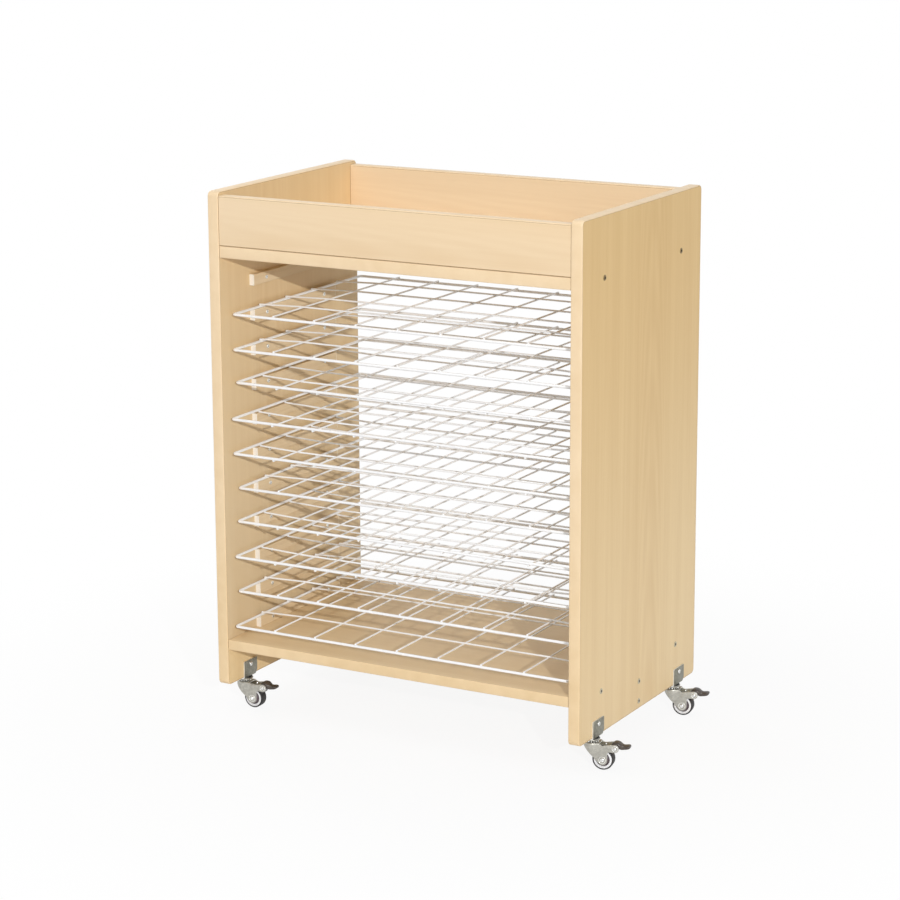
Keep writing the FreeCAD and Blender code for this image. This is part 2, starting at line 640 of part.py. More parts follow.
FIXED_CASTER_PIECES = {"caster_bracket": caster_bracket, "kingpin": kingpin}
SWIVELLING_CASTER_PIECES = {
    "fork": fork,
    "fork_pins": fork_pins,
    "wheel_hub": wheel_hub,
    "tyre": tyre,
    "brake_pedal": brake_pedal,
}


def solids_of(shape):
    """The plain list of solids in a shape or a list of shapes."""
    shapes = shape if isinstance(shape, list) else [shape]
    return [solid for each in shapes for solid in each.Solids]


def caster_nodes(corner):
    side_x, side_y = CORNERS[corner]
    place = Vector(side_x * (HALF_WIDTH - BOARD / 2), side_y * (HALF_DEPTH - CASTER_INSET), PANEL_BOTTOM)
    turn = FreeCAD.Rotation(Vector(0, 0, 1), CASTER_ANGLES[corner])
    placements = (
        (FIXED_CASTER_PIECES, FreeCAD.Placement(place, FreeCAD.Rotation())),
        (SWIVELLING_CASTER_PIECES, FreeCAD.Placement(place, turn)),
    )
    nodes = {}
    for pieces, placement in placements:
        for name, make in pieces.items():
            nodes[f"{name}_{corner}"] = [placed(solid, placement) for solid in solids_of(make())]
    return nodes


def build_nodes():
    nodes = {
        "side_panel_left": side_panel(-1),
        "side_panel_right": side_panel(1),
        "tray_front_board": tray_front_board(),
        "tray_back_board": tray_back_board(),
        "tray_floor": tray_floor(),
        "bottom_shelf": bottom_shelf(),
        "bottom_stretcher": bottom_stretcher(),
    }
    nodes.update({f"runner_pair_{level:02d}": runner_pair(level) for level in range(LEVELS)})
    nodes.update({f"wire_rack_{number:02d}": rack(number) for number in range(1, LEVELS)})
    for corner in CORNERS:
        nodes.update(caster_nodes(corner))
    screws = {
        "cabinet_screws": cabinet_screws(),
        "runner_screws": runner_screws(),
        "bracket_screws": bracket_screws(),
    }
    every_screw = [screw for group in screws.values() for screw in group]
    for name in nodes:
        nodes[name] = [with_holes(solid, every_screw) for solid in solids_of(nodes[name])]
    nodes.update(screws)
    return {name: solids_of(shape) for name, shape in nodes.items()}


def export(nodes):
    """Moves everything so that the bounding box stands on the origin, and writes the files."""
    everything = Part.makeCompound([solid for solids in nodes.values() for solid in solids])
    bounds = everything.optimalBoundingBox(False, False)
    shift = Vector(-bounds.Center.x, -bounds.Center.y, 0)
    os.makedirs("parts", exist_ok=True)
    for name, solids in nodes.items():
        shape = solids[0] if len(solids) == 1 else Part.makeCompound(solids)
        shape.translate(shift)
        shape.exportStep(f"parts/{name}.step")
    print(len(nodes), "nodes, moved by", [round(value, 4) for value in shift], "to", bounds)


if __name__ == "__main__":
    export(build_nodes())
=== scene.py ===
# Art drying rack: a birch-faced cabinet with a tray on top, ten white wire racks that slide on
# wooden runners, and four small braked casters. The file follows the order of putting it together.
import json
import math

import bmesh
import bpy
from mathutils import Matrix, Vector


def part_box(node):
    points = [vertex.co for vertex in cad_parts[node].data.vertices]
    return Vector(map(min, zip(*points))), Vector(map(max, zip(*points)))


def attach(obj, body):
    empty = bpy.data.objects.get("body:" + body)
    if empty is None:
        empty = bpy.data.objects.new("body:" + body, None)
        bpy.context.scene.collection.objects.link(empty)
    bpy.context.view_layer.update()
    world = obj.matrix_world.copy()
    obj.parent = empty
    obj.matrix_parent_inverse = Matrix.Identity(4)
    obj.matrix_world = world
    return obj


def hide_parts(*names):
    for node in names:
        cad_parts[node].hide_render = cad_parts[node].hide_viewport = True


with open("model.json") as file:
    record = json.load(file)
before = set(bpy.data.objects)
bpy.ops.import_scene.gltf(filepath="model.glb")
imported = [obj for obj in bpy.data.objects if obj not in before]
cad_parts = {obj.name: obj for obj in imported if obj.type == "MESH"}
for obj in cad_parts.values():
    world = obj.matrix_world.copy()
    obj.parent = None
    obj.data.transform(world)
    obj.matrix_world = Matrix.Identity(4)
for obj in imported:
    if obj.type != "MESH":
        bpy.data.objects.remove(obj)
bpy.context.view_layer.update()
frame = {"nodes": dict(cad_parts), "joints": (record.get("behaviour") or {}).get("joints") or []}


# ---- Side panels ----------------------------------------------------------------------------
# Two 18 mm boards faced with birch-pattern laminate, with the grain upright. A cream banding
# strip is glued round their edges and rounded over, and leaves a thin dark glue line.

class Value:
    """An outlet of a node. Arithmetic on it adds Math nodes to its tree."""

    def __init__(self, graph, outlet):
        self.graph = graph
        self.outlet = outlet

    def of(self, which):
        """Another outlet of the same node, by its name or its number."""
        return Value(self.graph, self.outlet.node.outputs[which])

    def math(self, operation, *operands):
        return self.graph.node("ShaderNodeMath", dict(enumerate(operands)), operation=operation)

    def __add__(self, other):
        return self.math("ADD", self, other)

    __radd__ = __add__

    def __sub__(self, other):
        return self.math("SUBTRACT", self, other)

    def __rsub__(self, other):
        return self.math("SUBTRACT", other, self)

    def __mul__(self, other):
        return self.math("MULTIPLY", self, other)

    __rmul__ = __mul__

    def __truediv__(self, other):
        return self.math("DIVIDE", self, other)

    def __abs__(self):
        return self.math("ABSOLUTE", self)

    def sine(self):
        return self.math("SINE", self)

    def above(self, low, high):
        """0 below low, 1 above high, and a smooth step between them."""
        sockets = {"Value": self, "From Min": low, "From Max": high}
        return self.graph.node("ShaderNodeMapRange", sockets, interpolation_type="SMOOTHSTEP")


class Graph:
    """Adds nodes to the tree of a material, a world or a geometry modifier."""

    def __init__(self, tree):
        self.tree = tree

    def node(self, kind, sockets=None, **settings):
        """One node: its settings, and the values and links of its sockets, by name or number."""
        made = self.tree.nodes.new(kind)
        for name, value in settings.items():
            setattr(made, name, value)
        for name, value in (sockets or {}).items():
            for each in value if isinstance(value, list) else [value]:
                if isinstance(each, Value):
                    self.tree.links.new(each.outlet, made.inputs[name])
                else:
                    made.inputs[name].default_value = each
        return Value(self, made.outputs[0]) if made.outputs else None

    def mix(self, share, first, second):
        """Two colours mixed, with share 0 for the first and 1 for the second."""
        sockets = {0: share, 6: opaque(first), 7: opaque(second)}
        return self.node("ShaderNodeMix", sockets, data_type="RGBA").of(2)


def opaque(colour):
    return colour if isinstance(colour, Value) else (*colour, 1.0)


class Finish(Graph):
    """A material with one Principled shader."""

    def __init__(self, name, **shader):
        self.material = bpy.data.materials.new(name)
        self.material.use_nodes = True
        super().__init__(self.material.node_tree)
        self.shader = self.tree.nodes["Principled BSDF"]
        self.set(**shader)
        self.place = self.node("ShaderNodeTexCoord").of("Object")

    def set(self, **shader):
        """Sets or links the shader's sockets; an underscore stands for a space."""
        for name, value in shader.items():
            socket = self.shader.inputs[name.replace("_", " ")]
            if isinstance(value, Value):
                self.tree.links.new(value.outlet, socket)
            else:
                socket.default_value = opaque(value) if isinstance(value, tuple) else value

    def parts(self):
        """The place on the object as its X, Y and Z."""
        apart = self.node("ShaderNodeSeparateXYZ", {0: self.place})
        return apart, apart.of(1), apart.of(2)

    def stretched(self, x, y, z):
        """The place on the object, with each axis scaled."""
        return self.node("ShaderNodeVectorMath", {0: self.place, 1: (x, y, z)}, operation="MULTIPLY")

    def noise(self, place, detail=2.0, roughness=0.5, distortion=0.0):
        sockets = {"Vector": place, "Scale": 1.0, "Detail": detail}
        return self.node("ShaderNodeTexNoise", {**sockets, "Roughness": roughness, "Distortion": distortion})

    def grain(self, x, y, z, **noise):
        """Noise with its own scale along each axis."""
        return self.noise(self.stretched(x, y, z), **noise)

    def cloud(self, scale, **noise):
        return self.grain(scale, scale, scale, **noise)

    def made(self, colour, roughness, relief, strength, depth):
        """The material, with its colour, its roughness and a fine relief of its surface."""
        bump = self.node("ShaderNodeBump", {"Height": relief, "Strength": strength, "Distance": depth})
        self.set(Base_Color=colour, Roughness=roughness, Normal=bump)
        return self.material


def laminate(name, upright, light, dark, arches, foot=None):
    """Printed birch grain under a satin film, along Z if upright, else along X.

    light and dark each give a tone of the print for its low end and one for its high end. On an
    upright board the tone changes with height, matched to how bright the board looks low and high:
    painted light and shade. On a level board the two mix at random. The cathedral arches lie round
    a line at one place across the grain. foot is a lighter tone under the shelf: painted light.
    """
    finish = Finish(name, Specular_IOR_Level=0.42)
    across = (1.0, 1.0, 0.0) if upright else (0.0, 1.0, 1.0)

    def grain(wide, long, **noise):
        return finish.grain(*(wide if side else long for side in across), **noise)

    x, y, z = finish.parts()
    run, offset = (z, y - arches) if upright else (x, z - arches)
    drift = grain(6.0, 0.7)
    streak = grain(150.0, 2.2, detail=4.0, roughness=0.6, distortion=0.15)
    fibre = grain(760.0, 22.0)
    wander = grain(16.0, 1.6)
    rings = (run * 42.0 + offset * offset * 9000.0 + wander * 9.0).sine()
    near = 1.0 - abs(offset).above(0.015, 0.07)
    fleck = grain(900.0, 42.0, detail=1.0).above(0.66, 0.74)
    band = grain(38.0, 1.2)
    texture = (band - 0.5) * 0.6 + (streak - 0.5) * 0.4 + (fibre - 0.5) * 0.18 + rings * near * 0.08
    shade = (0.5 + (drift - 0.5) * 0.7 + texture).above(0.0, 1.0)
    # On an upright board the tone changes with height: painted light and shade.
    climb = run.above(0.05, 0.80) if upright else drift.above(0.3, 0.7)
    low_tone = finish.mix(shade, light[0], dark[0])
    high_tone = finish.mix(shade, light[1], dark[1])
    colour = finish.mix(climb, low_tone, high_tone)
    # Below the shelf the inner faces take a lighter tone: painted light.
    if foot:
        colour = finish.mix(run.above(0.105, 0.115), finish.mix(shade, *foot), colour)
    return finish.made(
        colour=finish.mix(fleck * 0.22, colour, dark[1]), roughness=0.40 + fibre * 0.14,
        relief=fibre + streak * 0.6, strength=0.22, depth=0.0002)


# The panels' tones are matched to how bright each face looks in the light, and face_inner is a paler copy for
# the inner faces: painted light and shade.
face_upright = laminate(
    "birch laminate upright", True, arches=0.03,
    light=((0.89, 0.70, 0.42), (0.81, 0.58, 0.275)), dark=((0.765, 0.557, 0.30), (0.695, 0.46, 0.195)))
face_inner = laminate(
    "birch laminate inner", True, arches=-0.06, foot=((0.91, 0.70, 0.40), (0.79, 0.58, 0.30)),
    light=((0.77, 0.615, 0.405), (0.82, 0.63, 0.375)), dark=((0.69, 0.525, 0.31), (0.73, 0.525, 0.28)))


# The banding is paler than the faces because the front and top edges face the light: partly a cream strip,
# partly painted light.
def cream_banding():
    """Cream plastic strip with faint lines along it, a little deeper in tone near the bottom."""
    finish = Finish("cream banding", Specular_IOR_Level=0.45)
    cloud = finish.cloud(40.0, detail=3.0)
    line = finish.grain(9.0, 320.0, 9.0, detail=1.0)
    share = (cloud * 0.6 + line * 0.4).above(0.25, 0.75)
    high_tone = finish.mix(share, (0.885, 0.69, 0.455), (0.825, 0.625, 0.39))
    low_tone = finish.mix(share, (0.875, 0.665, 0.405), (0.80, 0.59, 0.335))
    return finish.made(
        colour=finish.mix(finish.parts()[2].above(0.10, 0.45), low_tone, high_tone),
        roughness=0.36 + cloud * 0.12, relief=cloud, strength=0.12, depth=0.0002)


def matt(name, first, second, scale, roughness, gloss):
    """A dull material in clouds of two colours."""
    finish = Finish(name, Roughness=roughness, Specular_IOR_Level=gloss)
    finish.set(Base_Color=finish.mix(finish.cloud(scale, detail=3.0).above(0.3, 0.7), first, second))
    return finish.material


banding = cream_banding()
glue_line = matt("glue line", (0.30, 0.19, 0.09), (0.42, 0.28, 0.15), 55.0, 0.7, 0.2)

# The places of the materials on a board.
FACE, BANDING, GLUE, INNER, CORE_AND_SHADE = range(5)

ARRIS = 0.0015                       # radius of the rounded-over edges
ARRIS_STEP = math.radians(22.5)
GLUE_WIDTH = 0.0004


def in_scene(name, data):
    made = bpy.data.objects.new(name, data)
    bpy.context.scene.collection.objects.link(made)
    return made


def finished(name, mesh, body, slot, *nodes):
    """Puts a mesh in the scene as a piece that moves with a body and stands for its CAD nodes."""
    piece = in_scene(name, mesh)
    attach(piece, body)
    if nodes:
        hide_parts(*nodes)


def shaped(name, build, materials, sharp=35.0):
    """A mesh from a bmesh, smooth except at edges sharper than the angle."""
    bmesh.ops.remove_doubles(build, verts=build.verts, dist=1e-6)
    bmesh.ops.recalc_face_normals(build, faces=build.faces)
    for face in build.faces:
        face.smooth = True
    for edge in build.edges:
        if len(edge.link_faces) == 2 and edge.calc_face_angle(0.0) > math.radians(sharp):
            edge.smooth = False
    mesh = bpy.data.meshes.new(name)
    build.to_mesh(mesh)
    build.free()
    for material in materials:
        mesh.materials.append(material)
    return mesh


def skin(build, rings, capped=True, around=True, paint=None):
    """Faces between rings of points. capped closes both ends, and around closes each ring.

    paint gives the material's place for a face, by its band between rings and its side.
    """
    loops = [[build.verts.new(point) for point in ring] for ring in rings]
    count = len(loops[0])
    for band, (low, high) in enumerate(zip(loops, loops[1:])):
        for side in range(count if around else count - 1):
            after = (side + 1) % count
            face = build.faces.new((low[side], low[after], high[after], high[side]))
            if paint:
                face.material_index = paint(band, side)
    if capped:
        build.faces.new(list(reversed(loops[0])))
        build.faces.new(loops[-1])


def rounded(corners, steps=5):
    """An outline with its (x, y, radius) corners rounded."""
    points = []
    for index, (x, y, radius) in enumerate(corners):
        corner = Vector((x, y))
        if not radius:
            points.append(corner)
            continue
        before = (Vector(corners[index - 1][:2]) - corner).normalized()
        after = (Vector(corners[(index + 1) % len(corners)][:2]) - corner).normalized()
        half = before.angle(after) / 2
        centre = corner + (before + after).normalized() * (radius / math.sin(half))
        start = corner + before * (radius / math.tan(half)) - centre
        end = corner + after * (radius / math.tan(half)) - centre
        sweep = start.angle_signed(end)
        for step in range(steps + 1):
            points.append(centre + Matrix.Rotation(-sweep * step / steps, 2) @ start)
    return points


def side_panel(node):
    """A full board with round corners: laminate on both faces, banding all round."""
    low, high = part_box(node)
    corner_radius = 0.008
    half = [(0.0, ARRIS + GLUE_WIDTH), (0.0, ARRIS)]
    for step in range(1, 5):
        angle = ARRIS_STEP * step
        half.append((ARRIS * (1 - math.cos(angle)), ARRIS * (1 - math.sin(angle))))
    thickness = high.x - low.x
    rings = []
    for depth, inset in half + [(thickness - depth, inset) for depth, inset in reversed(half)]:
        front, back = low.y + inset, high.y - inset
        bottom, top = low.z + inset, high.z - inset
        places = ((back, bottom), (back, top), (front, top), (front, bottom))
        outline = rounded([(y, z, corner_radius - inset) for y, z in places], steps=10)
        rings.append([(low.x + depth, y, z) for y, z in outline])
    build = bmesh.new()
    last = len(rings) - 2
    skin(build, rings, paint=lambda band, side: GLUE if band in (0, last) else BANDING)
    inner_x = high.x if high.x < 0 else low.x
    for face in build.faces:
        if len(face.verts) > 4 and abs(face.verts[0].co.x - inner_x) < 1e-6:
            face.material_index = INNER
    return shaped(node, build, (face_upright, banding, glue_line, face_inner))


for side in ("left", "right"):
    node = f"side_panel_{side}"
    finished(f"panel_{side}", side_panel(node), "cabinet", "birch_laminate", node)


# ---- Tray, shelf and stretcher --------------------------------------------------------------
# Boards between the panels, with the grain from side to side. The edges that show are banded:
# the top of the tray's walls, and the front and back of its floor and of the bottom shelf.

# face_level, face_tray and the shelf's laminate are one print in tones matched to how bright each place
# looks: lighter on the front and in the tray, which face the light, and darker on the shelf, which lies in
# shade under the racks. Painted light and shade.
face_level = laminate(
    "birch laminate level", False, arches=0.745,
    light=((0.875, 0.69, 0.47), (0.875, 0.685, 0.45)), dark=((0.81, 0.61, 0.385), (0.80, 0.59, 0.36)))
face_tray = laminate(
    "birch laminate tray", False, arches=0.735,
    light=((0.86, 0.70, 0.49), (0.86, 0.69, 0.47)), dark=((0.775, 0.595, 0.40), (0.765, 0.585, 0.38)))
shelf_face_painted_shade = laminate(
    "birch laminate shelf", False, arches=0.2,
    light=((0.80, 0.62, 0.385), (0.80, 0.615, 0.37)), dark=((0.72, 0.53, 0.305), (0.71, 0.52, 0.29)))
raw_core_and_seam_shade = matt("raw chipboard core", (0.36, 0.235, 0.125), (0.52, 0.36, 0.21), 700.0, 0.85, 0.15)

# The ends' bevels are painted in the dark core colour: a painted shadow line where the boards meet the
# panels.
SEAM = 0.0007                        # bevel of a board's ends, where they meet the panels


def lofted(name, rings, *look, **covering):
    """A mesh through rings of points."""
    build = bmesh.new()
    skin(build, rings, **covering)
    return shaped(name, build, *look)


def cross_board(node, banded, inner_side=None, inner_face=face_tray):
    """A board along X, whose long edges are rounded over. banded names the sides with banding.

    Between two sides without banding the raw core shows as a dark line, partly the real core and
    partly painted shade in the seam. The bevels at the ends, where the board meets the panels, take
    the same dark: painted shadow lines. The inner side, which looks into the tray or the cabinet,
    has tones of its own.
    """
    low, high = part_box(node)
    ends = {
        "front": ((low.y, high.z), (low.y, low.z)),
        "bottom": ((low.y, low.z), (high.y, low.z)),
        "back": ((high.y, low.z), (high.y, high.z)),
        "top": ((high.y, high.z), (low.y, high.z)),
    }
    order = list(ends)
    section, paint = [], []
    for index, name in enumerate(order):
        start, end = (Vector(place) for place in ends[name])
        forward = (end - start).normalized()
        before, after = order[index - 1], order[(index + 1) % 4]
        plain = name not in banded
        section.append(start + forward * ARRIS)
        if plain and before in banded:
            paint.append(GLUE)
            section.append(start + forward * (ARRIS + GLUE_WIDTH))
        paint.append(INNER if name == inner_side else FACE if plain else BANDING)
        if plain and after in banded:
            section.append(end - forward * (ARRIS + GLUE_WIDTH))
            paint.append(GLUE)
        section.append(end - forward * ARRIS)
        inwards = Vector((-forward.y, forward.x))
        centre = end + (inwards - forward) * ARRIS
        for angle in (ARRIS_STEP, 2 * ARRIS_STEP, 3 * ARRIS_STEP):
            section.append(centre + (forward * math.sin(angle) - inwards * math.cos(angle)) * ARRIS)
        paint += [BANDING if name in banded or after in banded else CORE_AND_SHADE] * 4
    middle = (low.yz + high.yz) / 2
    rings = []
    for x, sunk in ((low.x, SEAM), (low.x + SEAM, 0.0), (high.x - SEAM, 0.0), (high.x, SEAM)):
        ring = []
        for point in section:
            outwards = Vector([math.copysign(1.0, value) for value in point - middle])
            ring.append((x, *(point - outwards * sunk)))
        rings.append(ring)
    materials = (face_level, banding, glue_line, inner_face, raw_core_and_seam_shade)
    # Every band but the middle one is the dark core: painted shadow lines at the board's ends.
    return lofted(node, rings, materials, paint=lambda band, side: paint[side] if band == 1 else CORE_AND_SHADE)


for node, *sides in (
    ("tray_front_board", ("top",), "back"),
    ("tray_back_board", ("top",), "front"),
    ("tray_floor", ("front", "back"), "top"),
    ("bottom_shelf", ("front", "back"), "top", shelf_face_painted_shade),
    ("bottom_stretcher", ("bottom",)),
):
    finished(f"{node}_banded", cross_board(node, *sides), "cabinet", "birch_laminate", node)


# ---- Cabinet screws -------------------------------------------------------------------------
# Flat-headed panel screws with a hexagon socket, turned in from outside: on each side four into
# tray floor and shelf and two into the stretcher. The heads up at the tray are painted dark for the
# dark reflection they show, and those below are painted light: painted reflection and light.

def baked(name, carrier):
    """A plain mesh of what a carrier's modifiers make. The carrier goes."""
    made = bpy.data.meshes.new_from_object(carrier.evaluated_get(bpy.context.evaluated_depsgraph_get()))
    made.name = name
    bpy.data.objects.remove(carrier)
    return made


class Layout(Graph):
    """A geometry tree with named inputs, which is run to make plain meshes."""

    def __init__(self, name, **sizes):
        super().__init__(bpy.data.node_groups.new(name, "GeometryNodeTree"))
        kinds = {int: "NodeSocketInt", float: "NodeSocketFloat", bpy.types.Object: "NodeSocketObject"}
        face = self.tree.interface
        for in_out in ("INPUT", "OUTPUT"):
            face.new_socket(name="Geometry", in_out=in_out, socket_type="NodeSocketGeometry")
        self.sizes = sizes
        self.sockets = {}
        for label, value in sizes.items():
            made = face.new_socket(name=label, in_out="INPUT", socket_type=kinds[type(value)])
            self.sockets[label] = made.identifier
        self.inputs = self.node("NodeGroupInput")

    def __getitem__(self, label):
        return self.inputs.of(label)

    def shape(self, kind, sockets=None, **settings):
        return self.node(f"GeometryNode{kind}", sockets, **settings)

    def vector(self, x=0.0, y=0.0, z=0.0):
        return self.node("ShaderNodeCombineXYZ", {0: x, 1: y, 2: z})

    def line(self, **reach):
        """A straight path through the origin that reaches as far both ways along an axis."""
        back = {axis: length * -1.0 for axis, length in reach.items()}
        return self.shape("CurvePrimitiveLine", {"Start": self.vector(**back), "End": self.vector(**reach)})

    def rectangle(self, width, height, corner_radius, corner_steps):
        """A closed path with round corners."""
        sharp = self.shape("CurvePrimitiveQuadrilateral", {0: width, 1: height})
        sockets = {0: sharp, "Count": corner_steps, "Radius": corner_radius}
        return self.shape("FilletCurve", sockets, mode="POLY")

    def swept(self, path, outline):
        return self.shape("CurveToMesh", {0: path, 1: outline, "Fill Caps": True})

    def on_points(self, points, shape, **more):
        return self.shape("InstanceOnPoints", {"Points": points, "Instance": shape, **more})

    def close(self, shape, material, smooth=True):
        """Ends the tree: the shape as real faces, smooth or flat, in one material."""
        real = self.shape("RealizeInstances", {0: shape})
        shaded = self.shape("SetShadeSmooth", {"Geometry": real, "Shade Smooth": smooth})
        painted = self.shape("SetMaterial", {"Geometry": shaded, "Material": material})
        self.node("NodeGroupOutput", {0: painted})

    def mesh(self, name, base=None, **changes):
        """The tree's result as a plain mesh, for a base mesh of points and with some sizes changed."""
        carrier = in_scene(name, base or bpy.data.meshes.new("no points"))
        modifier = carrier.modifiers.new("layout", "NODES")
        modifier.node_group = self.tree
        for label, value in {**self.sizes, **changes}.items():
            modifier[self.sockets[label]] = value
        return baked(name, carrier)


def steel(name, light, dark, roughness, metallic=1.0):
    """Bare or plated steel: cloudy, finely scratched, and near black where a mesh attribute paints shade in
    sockets and at the rims of screw heads.
    """
    finish = Finish(name, Metallic=metallic)
    cloud = finish.cloud(240.0, detail=5.0, roughness=0.7)
    scratch = finish.grain(2600.0, 300.0, 900.0)
    # Painted shade from the mesh: near black in screw sockets and at the heads' rims.
    recess = finish.node("ShaderNodeAttribute", attribute_name="recess").of("Fac")
    colour = finish.mix(cloud.above(0.3, 0.7), light, dark)
    return finish.made(
        colour=finish.mix(recess, colour, (0.035, 0.027, 0.02)),
        roughness=roughness + (cloud - 0.5) * 0.22 + scratch * 0.06 + recess * 0.3,
        relief=scratch + cloud * 0.8, strength=0.12, depth=0.0001)


# One screw steel in two copies: dark for the heads at the tray, which show a dark reflection, and light for
# those below. Painted reflection and light.
screw_steel_painted_dark = steel("bronzed screw steel", (0.34, 0.25, 0.13), (0.22, 0.155, 0.08), 0.42)
screw_steel_painted_light = steel("dull nickel screw steel", (0.62, 0.57, 0.44), (0.50, 0.45, 0.33), 0.5, metallic=0.4)


def reach_at(shape, size, angle):
    """How far a drive socket reaches from the screw's axis at an angle."""
    if shape == "hexagon":
        sector = math.radians(60)
        return size * math.cos(sector / 2) / math.cos(angle % sector - sector / 2)
    if shape == "cross":
        arm = 0.3                    # half width of an arm, as a share of its length
        short, long = sorted((abs(math.cos(angle)), abs(math.sin(angle))))
        return min(size / long, size * arm / max(short, 1e-6))
    return size


def screw_head(name, layers, steps=36):
    """A head about +Z from (shape, size, height, painted shade) layers, from its rim to its socket."""
    build = bmesh.new()
    recess = build.verts.layers.float.new("recess")
    rings = []
    for shape, size, height, _ in layers:
        angles = [math.tau * step / steps for step in range(steps)]
        reaches = [reach_at(shape, size, angle) for angle in angles]
        rings.append([(r * math.cos(a), r * math.sin(a), height) for r, a in zip(reaches, angles)])
    skin(build, rings)
    for index, vertex in enumerate(build.verts):
        vertex[recess] = layers[index // steps][3]
    return bpy.data.objects.new(name, shaped(name, build, ()))


def fit_heads(name, head, material, seed, places, node):
    """One piece with a head at each (place, direction), along the direction and at a random turn."""
    layout = Layout(f"{name} layout", Head=head, Seed=seed)
    shape = layout.shape("ObjectInfo", {"Object": layout["Head"]}).of("Geometry")
    facing = layout.shape("InputNamedAttribute", {"Name": "facing"}, data_type="FLOAT_VECTOR")
    upright = layout.node("FunctionNodeAlignRotationToVector", {"Vector": facing}, axis="Z")
    twist = layout.node("FunctionNodeRandomValue", {2: 0.0, 3: math.tau, "Seed": layout["Seed"]}).of(1)
    spin = layout.node("FunctionNodeAxisAngleToRotation", {"Axis": (0, 0, 1), "Angle": twist})
    rotation = layout.node("FunctionNodeRotateRotation", {0: upright, 1: spin}, rotation_space="LOCAL")
    layout.close(layout.on_points(layout["Geometry"], shape, Rotation=rotation), material)
    points = bpy.data.meshes.new("screw places")
    points.from_pydata([place for place, _ in places], [], [])
    directions = points.attributes.new("facing", "FLOAT_VECTOR", "POINT")
    for index, (_, direction) in enumerate(places):
        directions.data[index].vector = direction
    finished(name, layout.mesh(name, points), "cabinet", "bright_steel", node)


def middle_of(node):
    low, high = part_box(node)
    return (low + high) / 2


def cabinet_screw_places():
    """Where the heads lie on the panels' outer faces, from the boards that the screws hold."""
    spread = 0.129
    stretcher_heights = (0.012, 0.043)
    places = []
    for side, outwards in (("left", -1), ("right", 1)):
        low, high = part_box(f"side_panel_{side}")
        x = low.x if outwards < 0 else high.x
        y = (low.y + high.y) / 2
        spots = [(y, low.z + height) for height in stretcher_heights]
        for board in ("tray_floor", "bottom_shelf"):
            z = middle_of(board).z
            spots += [(y - spread, z), (y + spread, z)]
        places += [((x, spot_y, z), (outwards, 0, 0)) for spot_y, z in spots]
    return places


# The last number of each layer is painted shade: darkest in the socket, and darker round the rim where the
# head sits on the board.
flat_head = screw_head("flat screw head", (
    ("round", 0.0042, 0.0, 0.6),
    ("round", 0.0042, 0.00015, 0.5),
    ("round", 0.0040, 0.00055, 0.0),
    ("round", 0.0037, 0.0007, 0.0),
    ("hexagon", 0.0023, 0.0007, 0.0),
    ("hexagon", 0.0022, 0.00055, 0.8),
    ("hexagon", 0.0021, 0.00008, 1.0),
))
tray_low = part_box("tray_floor")[0].z
# The heads at the tray take the dark copy and those below the light one: painted reflection and light.
for material, suffix, at_tray in ((screw_steel_painted_dark, "tray", True), (screw_steel_painted_light, "low", False)):
    places = [place for place in cabinet_screw_places() if (place[0][2] > tray_low) == at_tray]
    fit_heads(f"panel_screw_heads_{suffix}", flat_head, material, 3, places, "cabinet_screws")


# ---- Runners --------------------------------------------------------------------------------
# Eleven pairs of planed birch strips with eased edges, screwed to the panels' inner faces. Each
# strip is cut from another stick, so their tones differ a little. The top pair is a spare.

def nodes_named(start):
    return sorted(node for node in frame["nodes"] if node.startswith(start))


runner_nodes = nodes_named("runner_pair_")
runner_low, runner_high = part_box(runner_nodes[0])
runner_drop = runner_high.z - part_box(runner_nodes[1])[1].z
RUNNER_THICKNESS = 0.008
# The next size is how far the strips' ends are painted paler, where light falls on them: painted light.
LIT_END_WIDTH = 0.0006                    # how far the paler end grain shows


def strip_finish():
    """Planed birch: grain along Y, a tone for each strip, and ends painted paler where light falls on them:
    painted light.
    """
    finish = Finish("birch strip", Specular_IOR_Level=0.3)
    tone = finish.node("ShaderNodeAttribute", attribute_name="tone").of("Fac")
    shift = finish.node("ShaderNodeCombineXYZ", {0: tone * 7.0, 2: tone * 3.0})
    place = finish.stretched(210.0, 5.0, 210.0)
    spot = finish.node("ShaderNodeVectorMath", {0: place, 1: shift}, operation="ADD")
    grain = finish.noise(spot, detail=4.0, roughness=0.6, distortion=0.3)
    fibre = finish.grain(1300.0, 40.0, 1300.0)
    share = (grain * 0.7 + fibre * 0.2 + tone * 0.3).above(0.25, 0.95)
    end = (runner_high.y - runner_low.y) / 2 - LIT_END_WIDTH
    # Painted light: the strips' ends are paler, as they are lit from the front.
    painted_light_end = abs(finish.parts()[1] - middle_of(runner_nodes[0]).y).above(end - 0.0001, end)
    planed = finish.mix(share, (0.84, 0.68, 0.46), (0.72, 0.55, 0.34))
    return finish.made(
        colour=finish.mix(painted_light_end, planed, (0.95, 0.91, 0.84)), roughness=0.52 + fibre * 0.16,
        relief=grain + fibre, strength=0.2, depth=0.0002)


